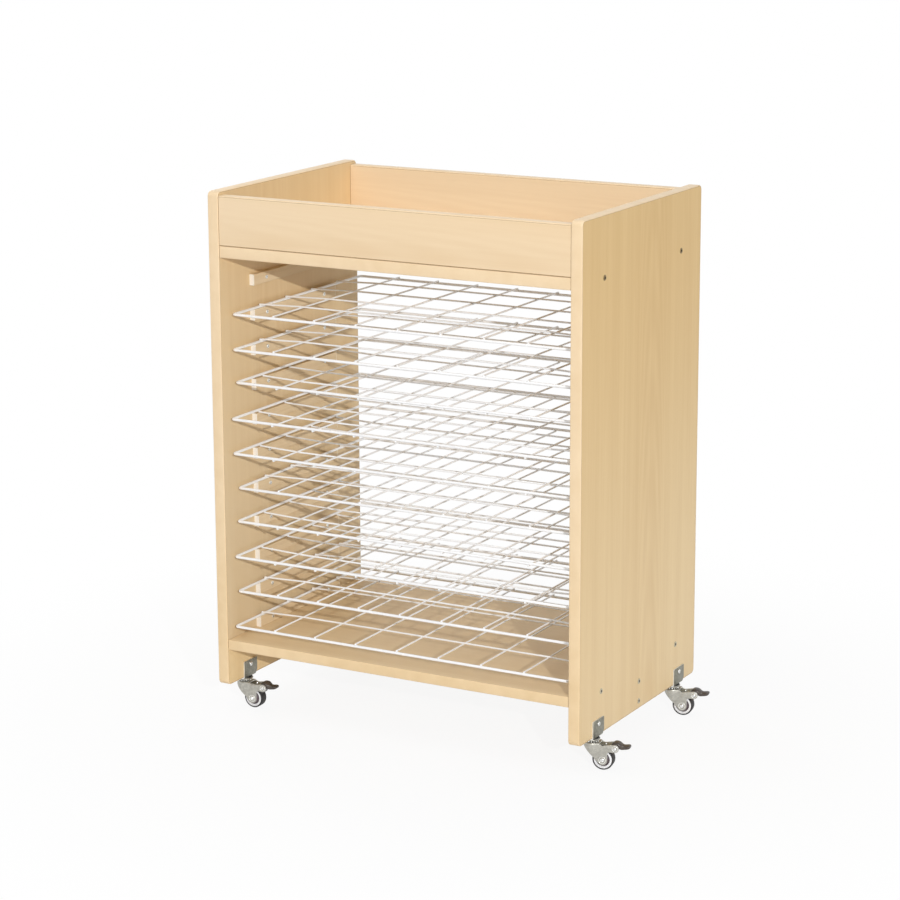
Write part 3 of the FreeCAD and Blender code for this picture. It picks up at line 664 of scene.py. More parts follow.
def runner_layout():
    """Strips swept along Y at every level on both sides, each with its own tone."""
    layout = Layout(
        "runner layout", Length=runner_high.y - runner_low.y, Height=runner_high.z - runner_low.z,
        Thickness=RUNNER_THICKNESS, Easing=0.0009, Levels=len(runner_nodes), Drop=runner_drop,
        Spread=(runner_high.x - runner_low.x - RUNNER_THICKNESS) / 2, Seed=11)
    eased = layout.rectangle(layout["Thickness"], layout["Height"], layout["Easing"], 3)
    strip = layout.swept(layout.line(y=layout["Length"] * 0.5), eased)
    drop = layout.vector(z=layout["Drop"] * -1.0)
    strips = layout.on_points(layout.shape("MeshLine", {"Count": layout["Levels"], "Offset": drop}), strip)
    sides = []
    for side in (1.0, -1.0):
        place = layout.vector(x=layout["Spread"] * side)
        sides.append(layout.shape("Transform", {0: strips, "Translation": place}))
    both = layout.shape("JoinGeometry", {0: sides})
    tone = layout.node("FunctionNodeRandomValue", {2: 0.0, 3: 1.0, "Seed": layout["Seed"]}).of(1)
    sockets = {"Geometry": both, "Name": "tone", "Value": tone}
    toned = layout.shape("StoreNamedAttribute", sockets, domain="INSTANCE")
    layout.close(toned, strip_finish(), smooth=False)
    return layout


runner_mesh = runner_layout().mesh("runner_strips")
runner_mesh.transform(Matrix.Translation(middle_of(runner_nodes[0])))
finished("runner_strips", runner_mesh, "cabinet", "runner_wood", *runner_nodes)

zinc_screw = steel("zinc screw steel", (0.90, 0.90, 0.87), (0.74, 0.74, 0.71), 0.30, metallic=0.8)


def runner_screw_places():
    """Two screws in each strip, 35 mm from its ends, facing inwards."""
    inset = 0.035
    places = []
    for node in runner_nodes:
        low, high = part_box(node)
        z = (low.z + high.z) / 2
        for y in (low.y + inset, high.y - inset):
            places.append(((low.x + RUNNER_THICKNESS, y, z), (1, 0, 0)))
            places.append(((high.x - RUNNER_THICKNESS, y, z), (-1, 0, 0)))
    return places


# The last number of each layer is painted shade in the socket and at the rim.
small_head = screw_head("small screw head", (
    ("round", 0.0033, 0.0, 0.4),
    ("round", 0.0033, 0.0003, 0.0),
    ("round", 0.0030, 0.0008, 0.0),
    ("round", 0.0022, 0.0012, 0.0),
    ("cross", 0.0014, 0.0013, 0.0),
    ("cross", 0.0012, 0.0006, 0.8),
), steps=32)
fit_heads("runner_screw_heads", small_head, zinc_screw, 5, runner_screw_places(), "runner_screws")


# ---- Wire racks -----------------------------------------------------------------------------
# Ten welded racks of steel wire with white powder coating: a thick rim, seven wires from front to
# back, and four from side to side that dip to the rim at their ends. Half of them lie upside down.

GRID_WIRE = 0.0025
RIM_WIRE = 0.004
COAT = 0.00014
UPSIDE_DOWN = (3, 4, 5, 7, 8)


def powder_finish():
    """Glossy white powder coating with a fine orange-peel skin."""
    finish = Finish("white powder coating", Specular_IOR_Level=0.6, Coat_Weight=0.4, Coat_Roughness=0.12)
    cloud = finish.cloud(14.0)
    return finish.made(
        colour=finish.mix(cloud.above(0.3, 0.7), (0.95, 0.955, 0.96), (0.91, 0.915, 0.925)),
        roughness=0.22 + cloud * 0.14, relief=finish.cloud(900.0), strength=0.25, depth=0.0001)


def rack_layout():
    """One rack about the middle of its rim: swept wires, a little uneven, and drops of weld."""
    low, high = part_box("wire_rack_01")
    layout = Layout(
        "rack layout", Width=high.x - low.x - RIM_WIRE - 2 * COAT,
        Depth=high.y - low.y - RIM_WIRE - 2 * COAT, Rim_Wire=RIM_WIRE, Grid_Wire=GRID_WIRE,
        Corner_Radius=0.0045, Bays_Across=8, Bays_Deep=5, Sides=10, Coat=COAT, Unevenness=0.0009, Seed=0)
    width, depth, grid_wire = layout["Width"], layout["Depth"], layout["Grid_Wire"]
    half_width, half_depth = width * 0.5, depth * 0.5
    bay_x, bay_y = width / layout["Bays_Across"], depth / layout["Bays_Deep"]
    lower_z = (layout["Rim_Wire"] + grid_wire) * 0.5
    overlap = layout["Rim_Wire"] * 0.15
    reach = half_width + overlap

    def wire(path, diameter):
        sockets = {"Resolution": layout["Sides"], "Radius": diameter * 0.5 + layout["Coat"]}
        return layout.swept(path, layout.shape("CurvePrimitiveCircle", sockets))

    def stepped(points, **reach):
        """A straight path with a number of points, at which it can bend."""
        return layout.shape("ResampleCurve", {0: layout.line(**reach), "Count": points})

    def row(bays, start, step):
        """Points at the joints between bays, or the wires that stand on them."""
        return layout.shape("MeshLine", {"Count": layout[bays] - 1, "Start Location": start, "Offset": step})

    def across_row(y, z):
        return row("Bays_Across", layout.vector(bay_x - half_width, y, z), layout.vector(bay_x))

    def deep_row(x, z):
        return row("Bays_Deep", layout.vector(x, bay_y - half_depth, z), layout.vector(y=bay_y))

    def wires(points, path, sideways):
        """Wires along a row of points, each a little wavy to the sides."""
        real = layout.shape("RealizeInstances", {0: layout.on_points(points, path)})
        place = layout.shape("InputPosition")
        sockets = {"Vector": place, "W": layout["Seed"] * 3.7, "Scale": 9.0, "Detail": 1.0}
        wave = layout.node("ShaderNodeTexNoise", sockets, noise_dimensions="4D")
        slip = layout.vector(**{sideways: (wave - 0.5) * layout["Unevenness"] * 2.0})
        return wire(layout.shape("SetPosition", {0: real, "Offset": slip}), grid_wire)

    rim = wire(layout.rectangle(width, depth, layout["Corner_Radius"], 7), layout["Rim_Wire"])
    lower_wires = wires(across_row(0.0, lower_z), stepped(21, y=half_depth + overlap), "x")
    out = abs(layout.node("ShaderNodeSeparateXYZ", {0: layout.shape("InputPosition")}))
    sockets = {"Value": out, "From Min": half_width - bay_x, "From Max": reach}
    dip = layout.node("ShaderNodeMapRange", {**sockets, "To Min": lower_z + grid_wire, "To Max": lower_z})
    dipped = layout.shape("SetPosition", {0: stepped(57, x=reach), "Offset": layout.vector(z=dip)})
    upper_wires = wires(deep_row(0.0, 0.0), dipped, "y")

    drop_radius, weld_z = grid_wire * 0.74, lower_z - grid_wire * 0.2
    drop = layout.shape("MeshIcoSphere", {"Radius": drop_radius, "Subdivisions": 3})
    drops = []
    for side in (-1.0, 1.0):
        drops.append(layout.on_points(across_row(half_depth * side, weld_z), drop, Scale=(0.9, 1.12, 0.8)))
        drops.append(layout.on_points(deep_row(half_width * side, weld_z), drop, Scale=(1.12, 0.9, 0.8)))
    layout.close(layout.shape("JoinGeometry", {0: [rim, lower_wires, upper_wires, *drops]}), powder_finish())
    return layout


racks = rack_layout()
for number, node in enumerate(nodes_named("wire_rack_"), 1):
    low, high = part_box(node)
    middle = middle_of(node)
    if number in UPSIDE_DOWN:
        place = Matrix.Translation((middle.x, middle.y, high.z - RIM_WIRE / 2))
        place = place @ Matrix.Rotation(math.pi, 4, "Y")
    else:
        place = Matrix.Translation((middle.x, middle.y, low.z + RIM_WIRE / 2))
    rack_mesh = racks.mesh(f"{node}_coated", Seed=number)
    rack_mesh.transform(place)
    finished(f"{node}_coated", rack_mesh, f"rack_{number:02d}", "rack_wire", node)


# ---- Caster brackets ------------------------------------------------------------------------
# A 2 mm zinc-plated U straddles the panel's bottom edge at each corner, with one rear corner
# clipped off each leg. Two pan-headed screws go through its legs into the board.

zinc = steel("zinc plated sheet", (0.52, 0.505, 0.45), (0.385, 0.375, 0.335), 0.36, metallic=0.9)
bracket_zinc = steel("dull zinc plated sheet", (0.315, 0.31, 0.255), (0.205, 0.20, 0.165), 0.40, metallic=0.9)
# A bright steel for the sheets' cut edges and the beads round the fork's pins: partly the bare cut edge,
# partly a painted highlight where these edges catch the light.
sheared_edge_and_highlight = steel("sheared sheet edge", (0.88, 0.88, 0.85), (0.74, 0.74, 0.71), 0.32, metallic=0.6)
BRACKET_SHEET = 0.002
CORNERS = ("front_left", "front_right", "rear_left", "rear_right")
panel_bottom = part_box("side_panel_left")[0].z


def bent(blank, folds, shape):
    """A flat blank of (s, t) points, sliced at its folds and bent by shape(s, t)."""
    build = bmesh.new()
    build.faces.new([build.verts.new((s, t, 0.0)) for s, t in blank])
    for fold in folds:
        everything = [*build.verts, *build.edges, *build.faces]
        bmesh.ops.bisect_plane(build, geom=everything, dist=1e-7, plane_co=(fold, 0, 0), plane_no=(1, 0, 0))
    for vertex in build.verts:
        vertex.co = shape(vertex.co.x, vertex.co.y)
    return build


def thickened(name, build, thickness, paint, edge=0.00025):
    """A closed sheet from a surface: half of its thickness each side, with eased edges."""
    sharp = 50.0
    carrier = in_scene(name, shaped(name, build, (paint, sheared_edge_and_highlight), sharp))
    wall = carrier.modifiers.new("wall", "SOLIDIFY")
    wall.thickness = thickness
    wall.offset = 0.0
    wall.use_even_offset = True
    # The rims take the bright edge steel: bare cut edge and painted highlight.
    wall.material_offset_rim = 1
    ease = carrier.modifiers.new("edges", "BEVEL")
    ease.width = edge
    ease.segments = 2
    ease.limit_method = "ANGLE"
    ease.angle_limit = math.radians(sharp)
    return baked(name, carrier)


def moved(mesh, x, y, z):
    mesh.transform(Matrix.Translation((x, y, z)))
    return mesh


def bracket_mesh(name, length, leg, width):
    """The U about the swivel axis, from the blank's two legs and its bottom."""
    bend = 0.0022
    half = (width - BRACKET_SHEET) / 2
    flat = half - bend
    quarter = math.pi / 2 * bend
    reach = flat + quarter + leg + BRACKET_SHEET / 2 - bend
    toe = length / 2
    clip, tip = 0.0045, 0.002        # the clipped corner, and the radius of the others
    bend_steps = 5

    def shape(s, t):
        side, run = math.copysign(1.0, s), abs(s)
        if run <= flat:
            return (s, t, -BRACKET_SHEET / 2)
        if run <= flat + quarter:
            angle = (run - flat) / bend
            x, rise = flat + bend * math.sin(angle), bend * (1 - math.cos(angle))
            return (side * x, t, rise - BRACKET_SHEET / 2)
        return (side * half, t, bend - BRACKET_SHEET / 2 + run - flat - quarter)

    clip_start, clip_end = flat + quarter * 0.5, flat + quarter + clip
    blank = rounded([
        (-reach, -toe, tip), (reach, -toe, tip), (reach, toe, tip),
        (clip_end, toe, 0), (clip_start, toe - clip, 0),
        (-clip_start, toe - clip, 0), (-clip_end, toe, 0), (-reach, toe, tip),
    ])
    bends = [flat + quarter * step / bend_steps for step in range(bend_steps + 1)]
    folds = [side * run for side in (-1, 1) for run in bends]
    return thickened(name, bent(blank, folds, shape), BRACKET_SHEET, bracket_zinc)


# The last number of each layer is painted shade in the socket and at the rim.
pan_head = screw_head("pan screw head", (
    ("round", 0.0036, 0.0, 0.8),
    ("round", 0.0036, 0.0004, 0.4),
    ("round", 0.0034, 0.0009, 0.0),
    ("round", 0.0028, 0.0014, 0.0),
    ("round", 0.0022, 0.0017, 0.0),
    ("cross", 0.0015, 0.0018, 0.0),
    ("cross", 0.0012, 0.0010, 0.9),
), steps=40)
SCREW_RISE = 0.0187                  # over the panel's bottom edge
bracket_screw_places = []
for corner in CORNERS:
    low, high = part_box(f"caster_bracket_{corner}")
    x, y, _ = (low + high) / 2
    bracket = bracket_mesh(f"bracket_{corner}", high.y - low.y, high.z - panel_bottom, high.x - low.x)
    moved(bracket, x, y, panel_bottom)
    finished(f"bracket_{corner}", bracket, "cabinet", "zinc_steel", f"caster_bracket_{corner}")
    for x, outwards in ((low.x, -1), (high.x, 1)):
        bracket_screw_places.append(((x, y, panel_bottom + SCREW_RISE), (outwards, 0, 0)))
fit_heads("bracket_screw_heads", pan_head, zinc_screw, 9, bracket_screw_places, "bracket_screws")


# ---- Swivel bearings ------------------------------------------------------------------------
# Under each bracket a kingpin carries a pressed raceway. A ring of steel balls runs between it
# and the top of the fork, and the kingpin's head is riveted over under the fork's web.

bright_steel = steel("bright bearing steel", (0.86, 0.86, 0.85), (0.70, 0.70, 0.69), 0.22)


def plastic(name, light, dark, roughness, grain=900.0, **more):
    """Moulded plastic or rubber with slight clouds and a fine grain."""
    finish = Finish(name, **more)
    cloud = finish.cloud(90.0, detail=3.0)
    return finish.made(
        colour=finish.mix(cloud.above(0.3, 0.7), light, dark), roughness=roughness + (cloud - 0.5) * 0.2,
        relief=finish.cloud(grain), strength=0.25, depth=0.0001)


# A near-black ring in the gap under each bracket: a dark ring put where there is shade, painted shadow.
gap_shadow_black = plastic("black washer", (0.020, 0.020, 0.020), (0.035, 0.034, 0.033), 0.6)


def turned(name, profile, materials, steps, across=False, paint=None):
    """A turned piece from (radius, height) points, about Z, or about Y if across."""
    rings = []
    for radius, height in profile:
        ring = []
        for step in range(steps):
            angle = math.tau * step / steps
            u, v = max(radius, 1e-7) * math.cos(angle), max(radius, 1e-7) * math.sin(angle)
            ring.append((u, height, v) if across else (u, v, height))
        rings.append(ring)
    return lofted(name, rings, materials, capped=profile[0] != profile[-1], paint=paint)


def arc(centre, radius, start, end, steps):
    """Points round part of a circle, in degrees."""
    angles = [math.radians(start + (end - start) * step / steps) for step in range(steps + 1)]
    return [(centre[0] + radius * math.cos(a), centre[1] + radius * math.sin(a)) for a in angles]


def merged(name, *meshes):
    """One mesh of several, with their materials."""
    build = bmesh.new()
    materials = []
    for mesh in meshes:
        first = len(build.faces)
        build.from_mesh(mesh)
        build.faces.ensure_lookup_table()
        for face in build.faces[first:]:
            material = mesh.materials[face.material_index]
            if material not in materials:
                materials.append(material)
            face.material_index = materials.index(material)
    made = bpy.data.meshes.new(name)
    build.to_mesh(made)
    build.free()
    for material in materials:
        made.materials.append(material)
    return made


def bearing_mesh(name):
    """A near-black ring in the gap under the bracket as its painted shadow, then the pressed raceway with a
    rolled rim, collar, kingpin and its riveted head.
    """
    top = -BRACKET_SHEET
    race_top = top - 0.0017
    gap_shadow_radius, race, collar, pin, head = 0.0107, 0.0115, 0.0072, 0.003, 0.0050
    rolled, eased = 0.0010, 0.0008   # radii of the raceway's rim, and of the collar and the head
    profile = [(0.0, top), (gap_shadow_radius - 0.0002, top), (gap_shadow_radius, top - 0.0003), (gap_shadow_radius, race_top + 0.0001)]
    profile += arc((race, race_top - rolled), rolled, 90, -60, 8)
    profile += [(race - 0.0010, race_top - 0.0027), (race - 0.0017, race_top - 0.0036)]
    profile += arc((collar, race_top - 0.0040), eased, 20, -90, 5)
    profile += [(pin, -0.0085), (pin, -0.0106), (head - 0.0001, -0.0106), (head, -0.0110)]
    profile += arc((head - eased, -0.0113), eased, 0, -90, 4) + [(0.0, -0.0121)]
    # The first bands, under the bracket, are the near-black ring: painted shadow of the gap.
    return turned(name, profile, (zinc, gap_shadow_black), 72, paint=lambda band, side: int(band < 3))


def balls_layout():
    """A ring of bearing balls under the raceway."""
    layout = Layout("bearing balls", Balls=16, Ring_Radius=0.0098, Ball_Radius=0.00125)
    ring = layout.shape("MeshCircle", {0: layout["Balls"], 1: layout["Ring_Radius"]})
    ball = layout.shape("MeshIcoSphere", {"Radius": layout["Ball_Radius"], "Subdivisions": 2})
    layout.close(layout.on_points(ring, ball), bright_steel)
    return layout


BALLS_Z = -0.0077
balls = balls_layout()
joints = {joint["name"]: joint for joint in frame["joints"]}


def caster_place(corner):
    """The swivel's axis at the panel's bottom edge, from which a caster's own sizes are given."""
    x, y, _ = joints[f"swivel_{corner}"]["pos_m"]
    return Matrix.Translation((x, y, panel_bottom))


def swung_place(corner):
    """The same place, turned as the caster stands."""
    across = joints[f"wheel_spin_{corner}"]["axis"]
    return caster_place(corner) @ Matrix.Rotation(math.atan2(-across[0], across[1]), 4, "Z")


for corner in CORNERS:
    ring = moved(balls.mesh(f"balls_{corner}"), 0, 0, BALLS_Z)
    bearing = merged(f"swivel_bearing_{corner}", bearing_mesh("bearing"), ring)
    bearing.transform(caster_place(corner))
    finished(f"swivel_bearing_{corner}", bearing, "cabinet", "bright_steel", f"kingpin_{corner}")


# ---- Forks ----------------------------------------------------------------------------------
# Pressed from 1.5 mm zinc-plated sheet: a round front with a skirt, a web on top, and two cheeks
# that narrow to the axle's boss and to the lobe of the brake's pivot. Both pins are riveted over.

front_wheel, front_swivel, front_brake = (
    joints[f"{name}_front_right"]["pos_m"] for name in ("wheel_spin", "swivel", "brake"))
TRAIL = math.dist(front_wheel[:2], front_swivel[:2])
AXLE_Z = front_wheel[2] - panel_bottom
PIVOT_X = math.dist(front_brake[:2], front_swivel[:2])
PIVOT_Z = front_brake[2] - panel_bottom
FORK_TOP = front_swivel[2] - panel_bottom
SHEET = 0.0015
SKIRT = 0.003
CHEEK = 0.0105 - SHEET / 2           # mid-plane of a cheek
CUP = 0.0125 - SHEET / 2             # mid-surface of the round front
CUP_TURN = math.pi - math.asin(CHEEK / CUP)
CUP_RUN = CUP * CUP_TURN             # run and place at which the round front meets a cheek
CUP_X = CUP * math.cos(math.pi - CUP_TURN)
SHOULDER = 0.0018                    # bend between the cheeks and the web
BOSS, LOBE = 0.0074, 0.0058
WEB_END = 0.0138


def plan_at(run, inset=0.0):
    """A point of the fork's plan, by its run from the middle of the round front."""
    side, run = math.copysign(1.0, run), abs(run)
    if run < CUP_RUN:
        angle = math.pi - run / CUP
        return ((CUP - inset) * math.cos(angle), side * (CUP - inset) * math.sin(angle))
    return (run - CUP_RUN + CUP_X, side * (CHEEK - inset))


def run_at(x):
    """The run whose plan point has this x."""
    if x < CUP_X:
        return CUP * math.acos(min(1, max(-1, -x / CUP)))
    return CUP_RUN + x - CUP_X


def cheek_outline():
    """Half of the fork's blank as (x, z), from the top of its front down, round and back."""
    skirt = FORK_TOP - SKIRT
    front = -CUP - SHEET / 2
    reach = math.hypot(TRAIL - front, skirt - AXLE_Z)
    tangent = math.atan2(skirt - AXLE_Z, front - TRAIL) + math.acos(BOSS / reach)
    start = (-CUP, skirt)
    touch = (TRAIL + BOSS * math.cos(tangent), AXLE_Z + BOSS * math.sin(tangent))
    hollow = 0.004                   # radius between boss and lobe
    steps = 14
    points = [(-CUP, FORK_TOP - SHOULDER)]
    points += [tuple(a + (b - a) * step / steps for a, b in zip(start, touch)) for step in range(steps)]
    points += arc((TRAIL, AXLE_Z), BOSS, math.degrees(tangent), 360, steps)
    points += arc((TRAIL + BOSS + hollow, PIVOT_Z - LOBE - hollow), hollow, 180, 90, 5)
    points += arc((PIVOT_X, PIVOT_Z), LOBE, -90, 100, 12)
    points += [(WEB_END + back, FORK_TOP - down) for back, down in ((0.0042, 0.0036), (0.0022, 0.0026))]
    points.append((WEB_END, FORK_TOP - SHOULDER))
    return points


def fork_mesh(name):
    """Cheeks and round front from a bent blank, the web over them, and beads round both pins."""
    bend_steps, shoulder_steps = 12, 6
    bead_radius, bead_sunk = 0.00055, 0.0001
    half = [(run_at(x), z) for x, z in cheek_outline()]
    blank = half + [(-run, z) for run, z in reversed(half)]
    runs = [CUP_RUN * step / bend_steps for step in range(bend_steps + 1)] + [run_at(WEB_END)]
    build = bent(blank, [-run for run in runs] + runs, lambda run, z: (*plan_at(run), z))
    stations = [-run for run in reversed(runs[1:])] + runs
    rings = []
    for step in range(shoulder_steps + 1):
        angle = math.radians(90 * step / shoulder_steps)
        inset, rise = SHOULDER * (1 - math.cos(angle)), SHOULDER * math.sin(angle)
        level = FORK_TOP - SHEET / 2 - SHOULDER + rise + SHEET / 2 * (1 - step / shoulder_steps)
        rings.append([(*plan_at(run, inset), level) for run in stations])
    skin(build, rings, capped=False, around=False)
    build.faces.new([build.verts.new(point) for point in rings[-1]])
    sheet = thickened(name, build, SHEET, zinc)
    beads = []
    for x, z, radius in ((TRAIL, AXLE_Z, 0.0051), (PIVOT_X, PIVOT_Z, 0.0041)):
        for side in (-1, 1):
            ring = arc((radius, side * (CHEEK + SHEET / 2 - bead_sunk)), bead_radius, 0, 360, 10)
            # The beads are in the bright edge steel: a painted highlight round the pins.
            bead = turned("bead", ring[:-1] + ring[:1], (sheared_edge_and_highlight,), 40, across=True)
            beads.append(moved(bead, x, 0, z))
    return merged(name, sheet, *beads)


def pin_mesh(name, x, z, radius, crown):
    """A pin across the fork with a riveted head outside each cheek.

    The layers of a head, and its crown, are shares of its radius with their rise off the cheek.
    """
    outer, sunk, shank_radius = CHEEK + SHEET / 2, 0.0001, 0.002
    layers = ((1.0, -sunk), (1.0, 0.0003), (0.86, 0.0008), (0.62, 0.0011), (0.4, 0.00115), *crown)
    head = [(radius * share, outer + rise) for share, rise in layers]
    shank = [(shank_radius, sunk - outer), (shank_radius, outer - sunk)]
    profile = [(r, -y) for r, y in reversed(head)] + shank + head
    return moved(turned(name, profile, (bright_steel,), 40, across=True), x, 0, z)


DIMPLED = ((0.3, 0.0005), (0.0, 0.0004))
DOMED = ((0.3, 0.0012), (0.0, 0.0012))
spring_steel = steel("grey spring steel", (0.30, 0.30, 0.25), (0.19, 0.19, 0.155), 0.42, metallic=0.8)


def spring_mesh(name):
    """The brake's leaf spring: a strip from under the web back to the pedal, with a rivet in it."""
    width, thickness, sag = 0.0135, 0.0006, 0.0009
    under_web, pedal_gap, rivet_x = 0.004, 0.0012, 0.0215
    start, end = WEB_END - under_web, PIVOT_X - LOBE - pedal_gap
    top = FORK_TOP - SHEET - thickness
    steps = 12
    rows = []
    for step in range(steps + 1):
        x, z = start + (end - start) * step / steps, top - sag * math.sin(math.pi * step / steps)
        rows.append([(x, -width / 2, z), (x, width / 2, z)])
    build = bmesh.new()
    skin(build, rows, capped=False, around=False)
    leaf = thickened(name, build, thickness, spring_steel, edge=0.0001)
    dome = [(0.0, -0.0004), (0.0020, -0.0004), (0.0020, 0.0)]
    dome += [(0.0017, 0.0006), (0.0009, 0.0010), (0.0, 0.0011)]
    rivet = moved(turned("rivet", dome, (bright_steel,), 28), rivet_x, 0, top - thickness / 2)
    return merged(name, leaf, rivet)


def on_caster(corner, mesh, body, slot, *nodes):
    """Finishes a caster's piece at its corner, turned as the caster stands."""
    mesh.transform(swung_place(corner))
    finished(mesh.name, mesh, f"{body}_{corner}", slot, *(f"{node}_{corner}" for node in nodes))


for corner in CORNERS:
    on_caster(corner, fork_mesh(f"pressed_fork_{corner}"), "fork", "zinc_steel", "fork")
    axle = pin_mesh("axle", TRAIL, AXLE_Z, 0.0030, DIMPLED)
    pivot = pin_mesh("pivot", PIVOT_X, PIVOT_Z, 0.0025, DOMED)
    pins = merged(f"riveted_pins_{corner}", axle, pivot)
    on_caster(corner, pins, "fork", "bright_steel", "fork_pins")
    on_caster(corner, spring_mesh(f"brake_spring_{corner}"), "fork", "zinc_steel")


# ---- Wheels ---------------------------------------------------------------------------------
# A moulded hub with a white rim and a dark centre sunk inside it, under a black rubber tyre that
# shows the moulds' parting line round its tread. The hub turns on the axle.

rubber = plastic("black rubber", (0.024, 0.023, 0.024), (0.045, 0.043, 0.042), 0.62, Specular_IOR_Level=0.35)
white_nylon = plastic("white nylon", (0.96, 0.96, 0.97), (0.90, 0.90, 0.92), 0.30)
sunk_centre_plastic = plastic("dark thread guard", (0.115, 0.085, 0.095), (0.16, 0.125, 0.135), 0.40)
TYRE_RADIUS, RIM_RADIUS = 0.016, 0.0137


def mirrored(half):
    """A closed profile across the wheel from its half with positive heights."""
    return half + [(radius, -height) for radius, height in reversed(half)] + half[:1]


def hub_mesh(name):
    """White rim, a dark centre sunk inside it, and the boss on the axle."""
    sunk_centre = [(0.0022, 0.0087), (0.0052, 0.0087), (0.0056, 0.0083), (0.0058, 0.0048)]
    sunk_centre += [(0.0066, 0.0040), (0.0090, 0.0034), (0.0098, 0.0038)]
    rim = [(0.0101, 0.0054), (0.0104, 0.0064), (0.0109, 0.0068), (RIM_RADIUS - 0.0005, 0.0068)]
    rim += [(RIM_RADIUS - 0.0001, 0.0066), (RIM_RADIUS, 0.0062)]
    dark_bands = len(sunk_centre)
    white_end = dark_bands + 2 * len(rim) - 1
    return turned(
        name, mirrored(sunk_centre + rim), (white_nylon, sunk_centre_plastic), 72, across=True,
        paint=lambda band, side: int(band < dark_bands or band >= white_end))


def tyre_mesh(name):
    """Tread with a slight crown and a parting line, round shoulders, and a bead on the rim."""
    parting = 0.00006
    crown = TYRE_RADIUS - parting
    half = [(RIM_RADIUS + 0.00005, 0.0063), (RIM_RADIUS + 0.0002, 0.0068)]
    half += arc((0.0141, 0.0051), 0.0019, 90, 5, 7)[:-1]
    half += [(crown - 0.0001, 0.0042), (crown - 0.00002, 0.0020), (crown, 0.0002), (TYRE_RADIUS, 0.0)]
    return turned(name, mirrored(half), (rubber,), 96, across=True)


for corner in CORNERS:
    hub = moved(hub_mesh(f"moulded_hub_{corner}"), TRAIL, 0, AXLE_Z)
    tyre = moved(tyre_mesh(f"rubber_tyre_{corner}"), TRAIL, 0, AXLE_Z)
    on_caster(corner, hub, "wheel", "hub_nylon", "wheel_hub")
    on_caster(corner, tyre, "wheel", "tyre_rubber", "tyre")


# ---- Brake pedals ---------------------------------------------------------------------------
# One moulding each: a hump over the pivot, a narrow waist, and a tongue for the toe that widens
# to a round tip. Under the hump a cam turns down on the tyre when the pedal is pressed.

pedal_plastic = plastic(
    "brown pedal plastic", (0.048, 0.037, 0.030), (0.080, 0.064, 0.053), 0.35, grain=1500.0)
BRAKE_TURN = math.radians(20)

# Along the pedal, from the pivot: place, half width, top and underside.
PEDAL_STATIONS = (
    (-0.0055, 0.0060, 0.0030, 0.0000),
    (-0.0053, 0.0072, 0.0052, -0.0010),
    (-0.0043, 0.0078, 0.0074, -0.0020),
    (-0.0025, 0.0080, 0.0086, -0.0026),
    (0.0000, 0.0080, 0.0090, -0.0030),
    (0.0030, 0.0079, 0.0087, -0.0022),
    (0.0055, 0.0074, 0.0077, -0.0016),
    (0.0078, 0.0064, 0.0062, -0.0026),
    (0.0095, 0.0053, 0.0052, -0.0028),
    (0.0112, 0.0047, 0.0048, -0.0026),
    (0.0132, 0.0048, 0.0047, -0.0022),
    (0.0155, 0.0056, 0.0049, -0.0017),
    (0.0178, 0.0062, 0.0050, -0.0010),
    (0.0196, 0.0062, 0.0048, -0.0002),
    (0.0207, 0.0053, 0.0044, 0.0006),
    (0.0212, 0.0038, 0.0037, 0.0014),
    (0.0214, 0.0018, 0.0031, 0.0020),
)


def pedal_body(name):
    """The hump and the tongue, lofted through sections between an oval and a rectangle."""
    squareness, steps = 3.6, 28
    rings = []
    for x, half_width, top, underside in PEDAL_STATIONS:
        ring = []
        for step in range(steps):
            angle = math.tau * step / steps
            u, v = (math.copysign(abs(c) ** (2 / squareness), c) for c in (math.cos(angle), math.sin(angle)))
            ring.append((x, u * half_width, v * (top - underside) / 2 + (top + underside) / 2))
        rings.append(ring)
    return lofted(name, rings, (pedal_plastic,), 60.0)


def nose_mesh(name):
    """The cam's nose: a bar with a round tip, one brake turn short of meeting the tyre."""
    wheel_gap = math.dist((TRAIL, AXLE_Z), (PIVOT_X, PIVOT_Z)) - TYRE_RADIUS
    pivot_angle = math.atan2(PIVOT_Z - AXLE_Z, PIVOT_X - TRAIL)
    half_thick, half_wide, clearance = 0.002, 0.007, 0.0004
    tip = arc((wheel_gap - clearance - half_thick, 0.0), half_thick, -90, 90, 8)
    outline = [(0.0, half_thick), (0.0, -half_thick)] + tip
    rings = [[(x, y, z) for x, z in outline] for y in (-half_wide, half_wide)]
    made = lofted(name, rings, (pedal_plastic,))
    made.transform(Matrix.Rotation(-(math.pi + pivot_angle + BRAKE_TURN), 4, "Y"))
    return made


def pedal_mesh(name):
    """The body with the cam's boss and nose under it."""
    body = pedal_body(name)
    half = 0.0080
    profile = [(0.0022, half), (0.0042, half), (0.0045, half - 0.0003)]
    boss = turned("boss", mirrored(profile), (pedal_plastic,), 40, across=True)
    return moved(merged(name, body, boss, nose_mesh("nose")), PIVOT_X, 0, PIVOT_Z)


for corner in CORNERS:
    pedal = pedal_mesh(f"moulded_pedal_{corner}")
    on_caster(corner, pedal, "pedal", "pedal_plastic", "brake_pedal")


# ---- Floor, light and camera ----------------------------------------------------------------
# A white floor that keeps the rack's soft shadow, plain studio light, and one camera.

def cleared(owner):
    """The empty node tree of a material or a world."""
    owner.use_nodes = True
    owner.node_tree.nodes.clear()
    return Graph(owner.node_tree)


def looked_at(graph):
    """1 where the camera, metal or glass looks at the background, and 0 where it gives light."""
    ray = graph.node("ShaderNodeLightPath")
    return ray.of("Is Camera Ray") + ray.of("Is Glossy Ray") + ray.of("Is Transmission Ray")


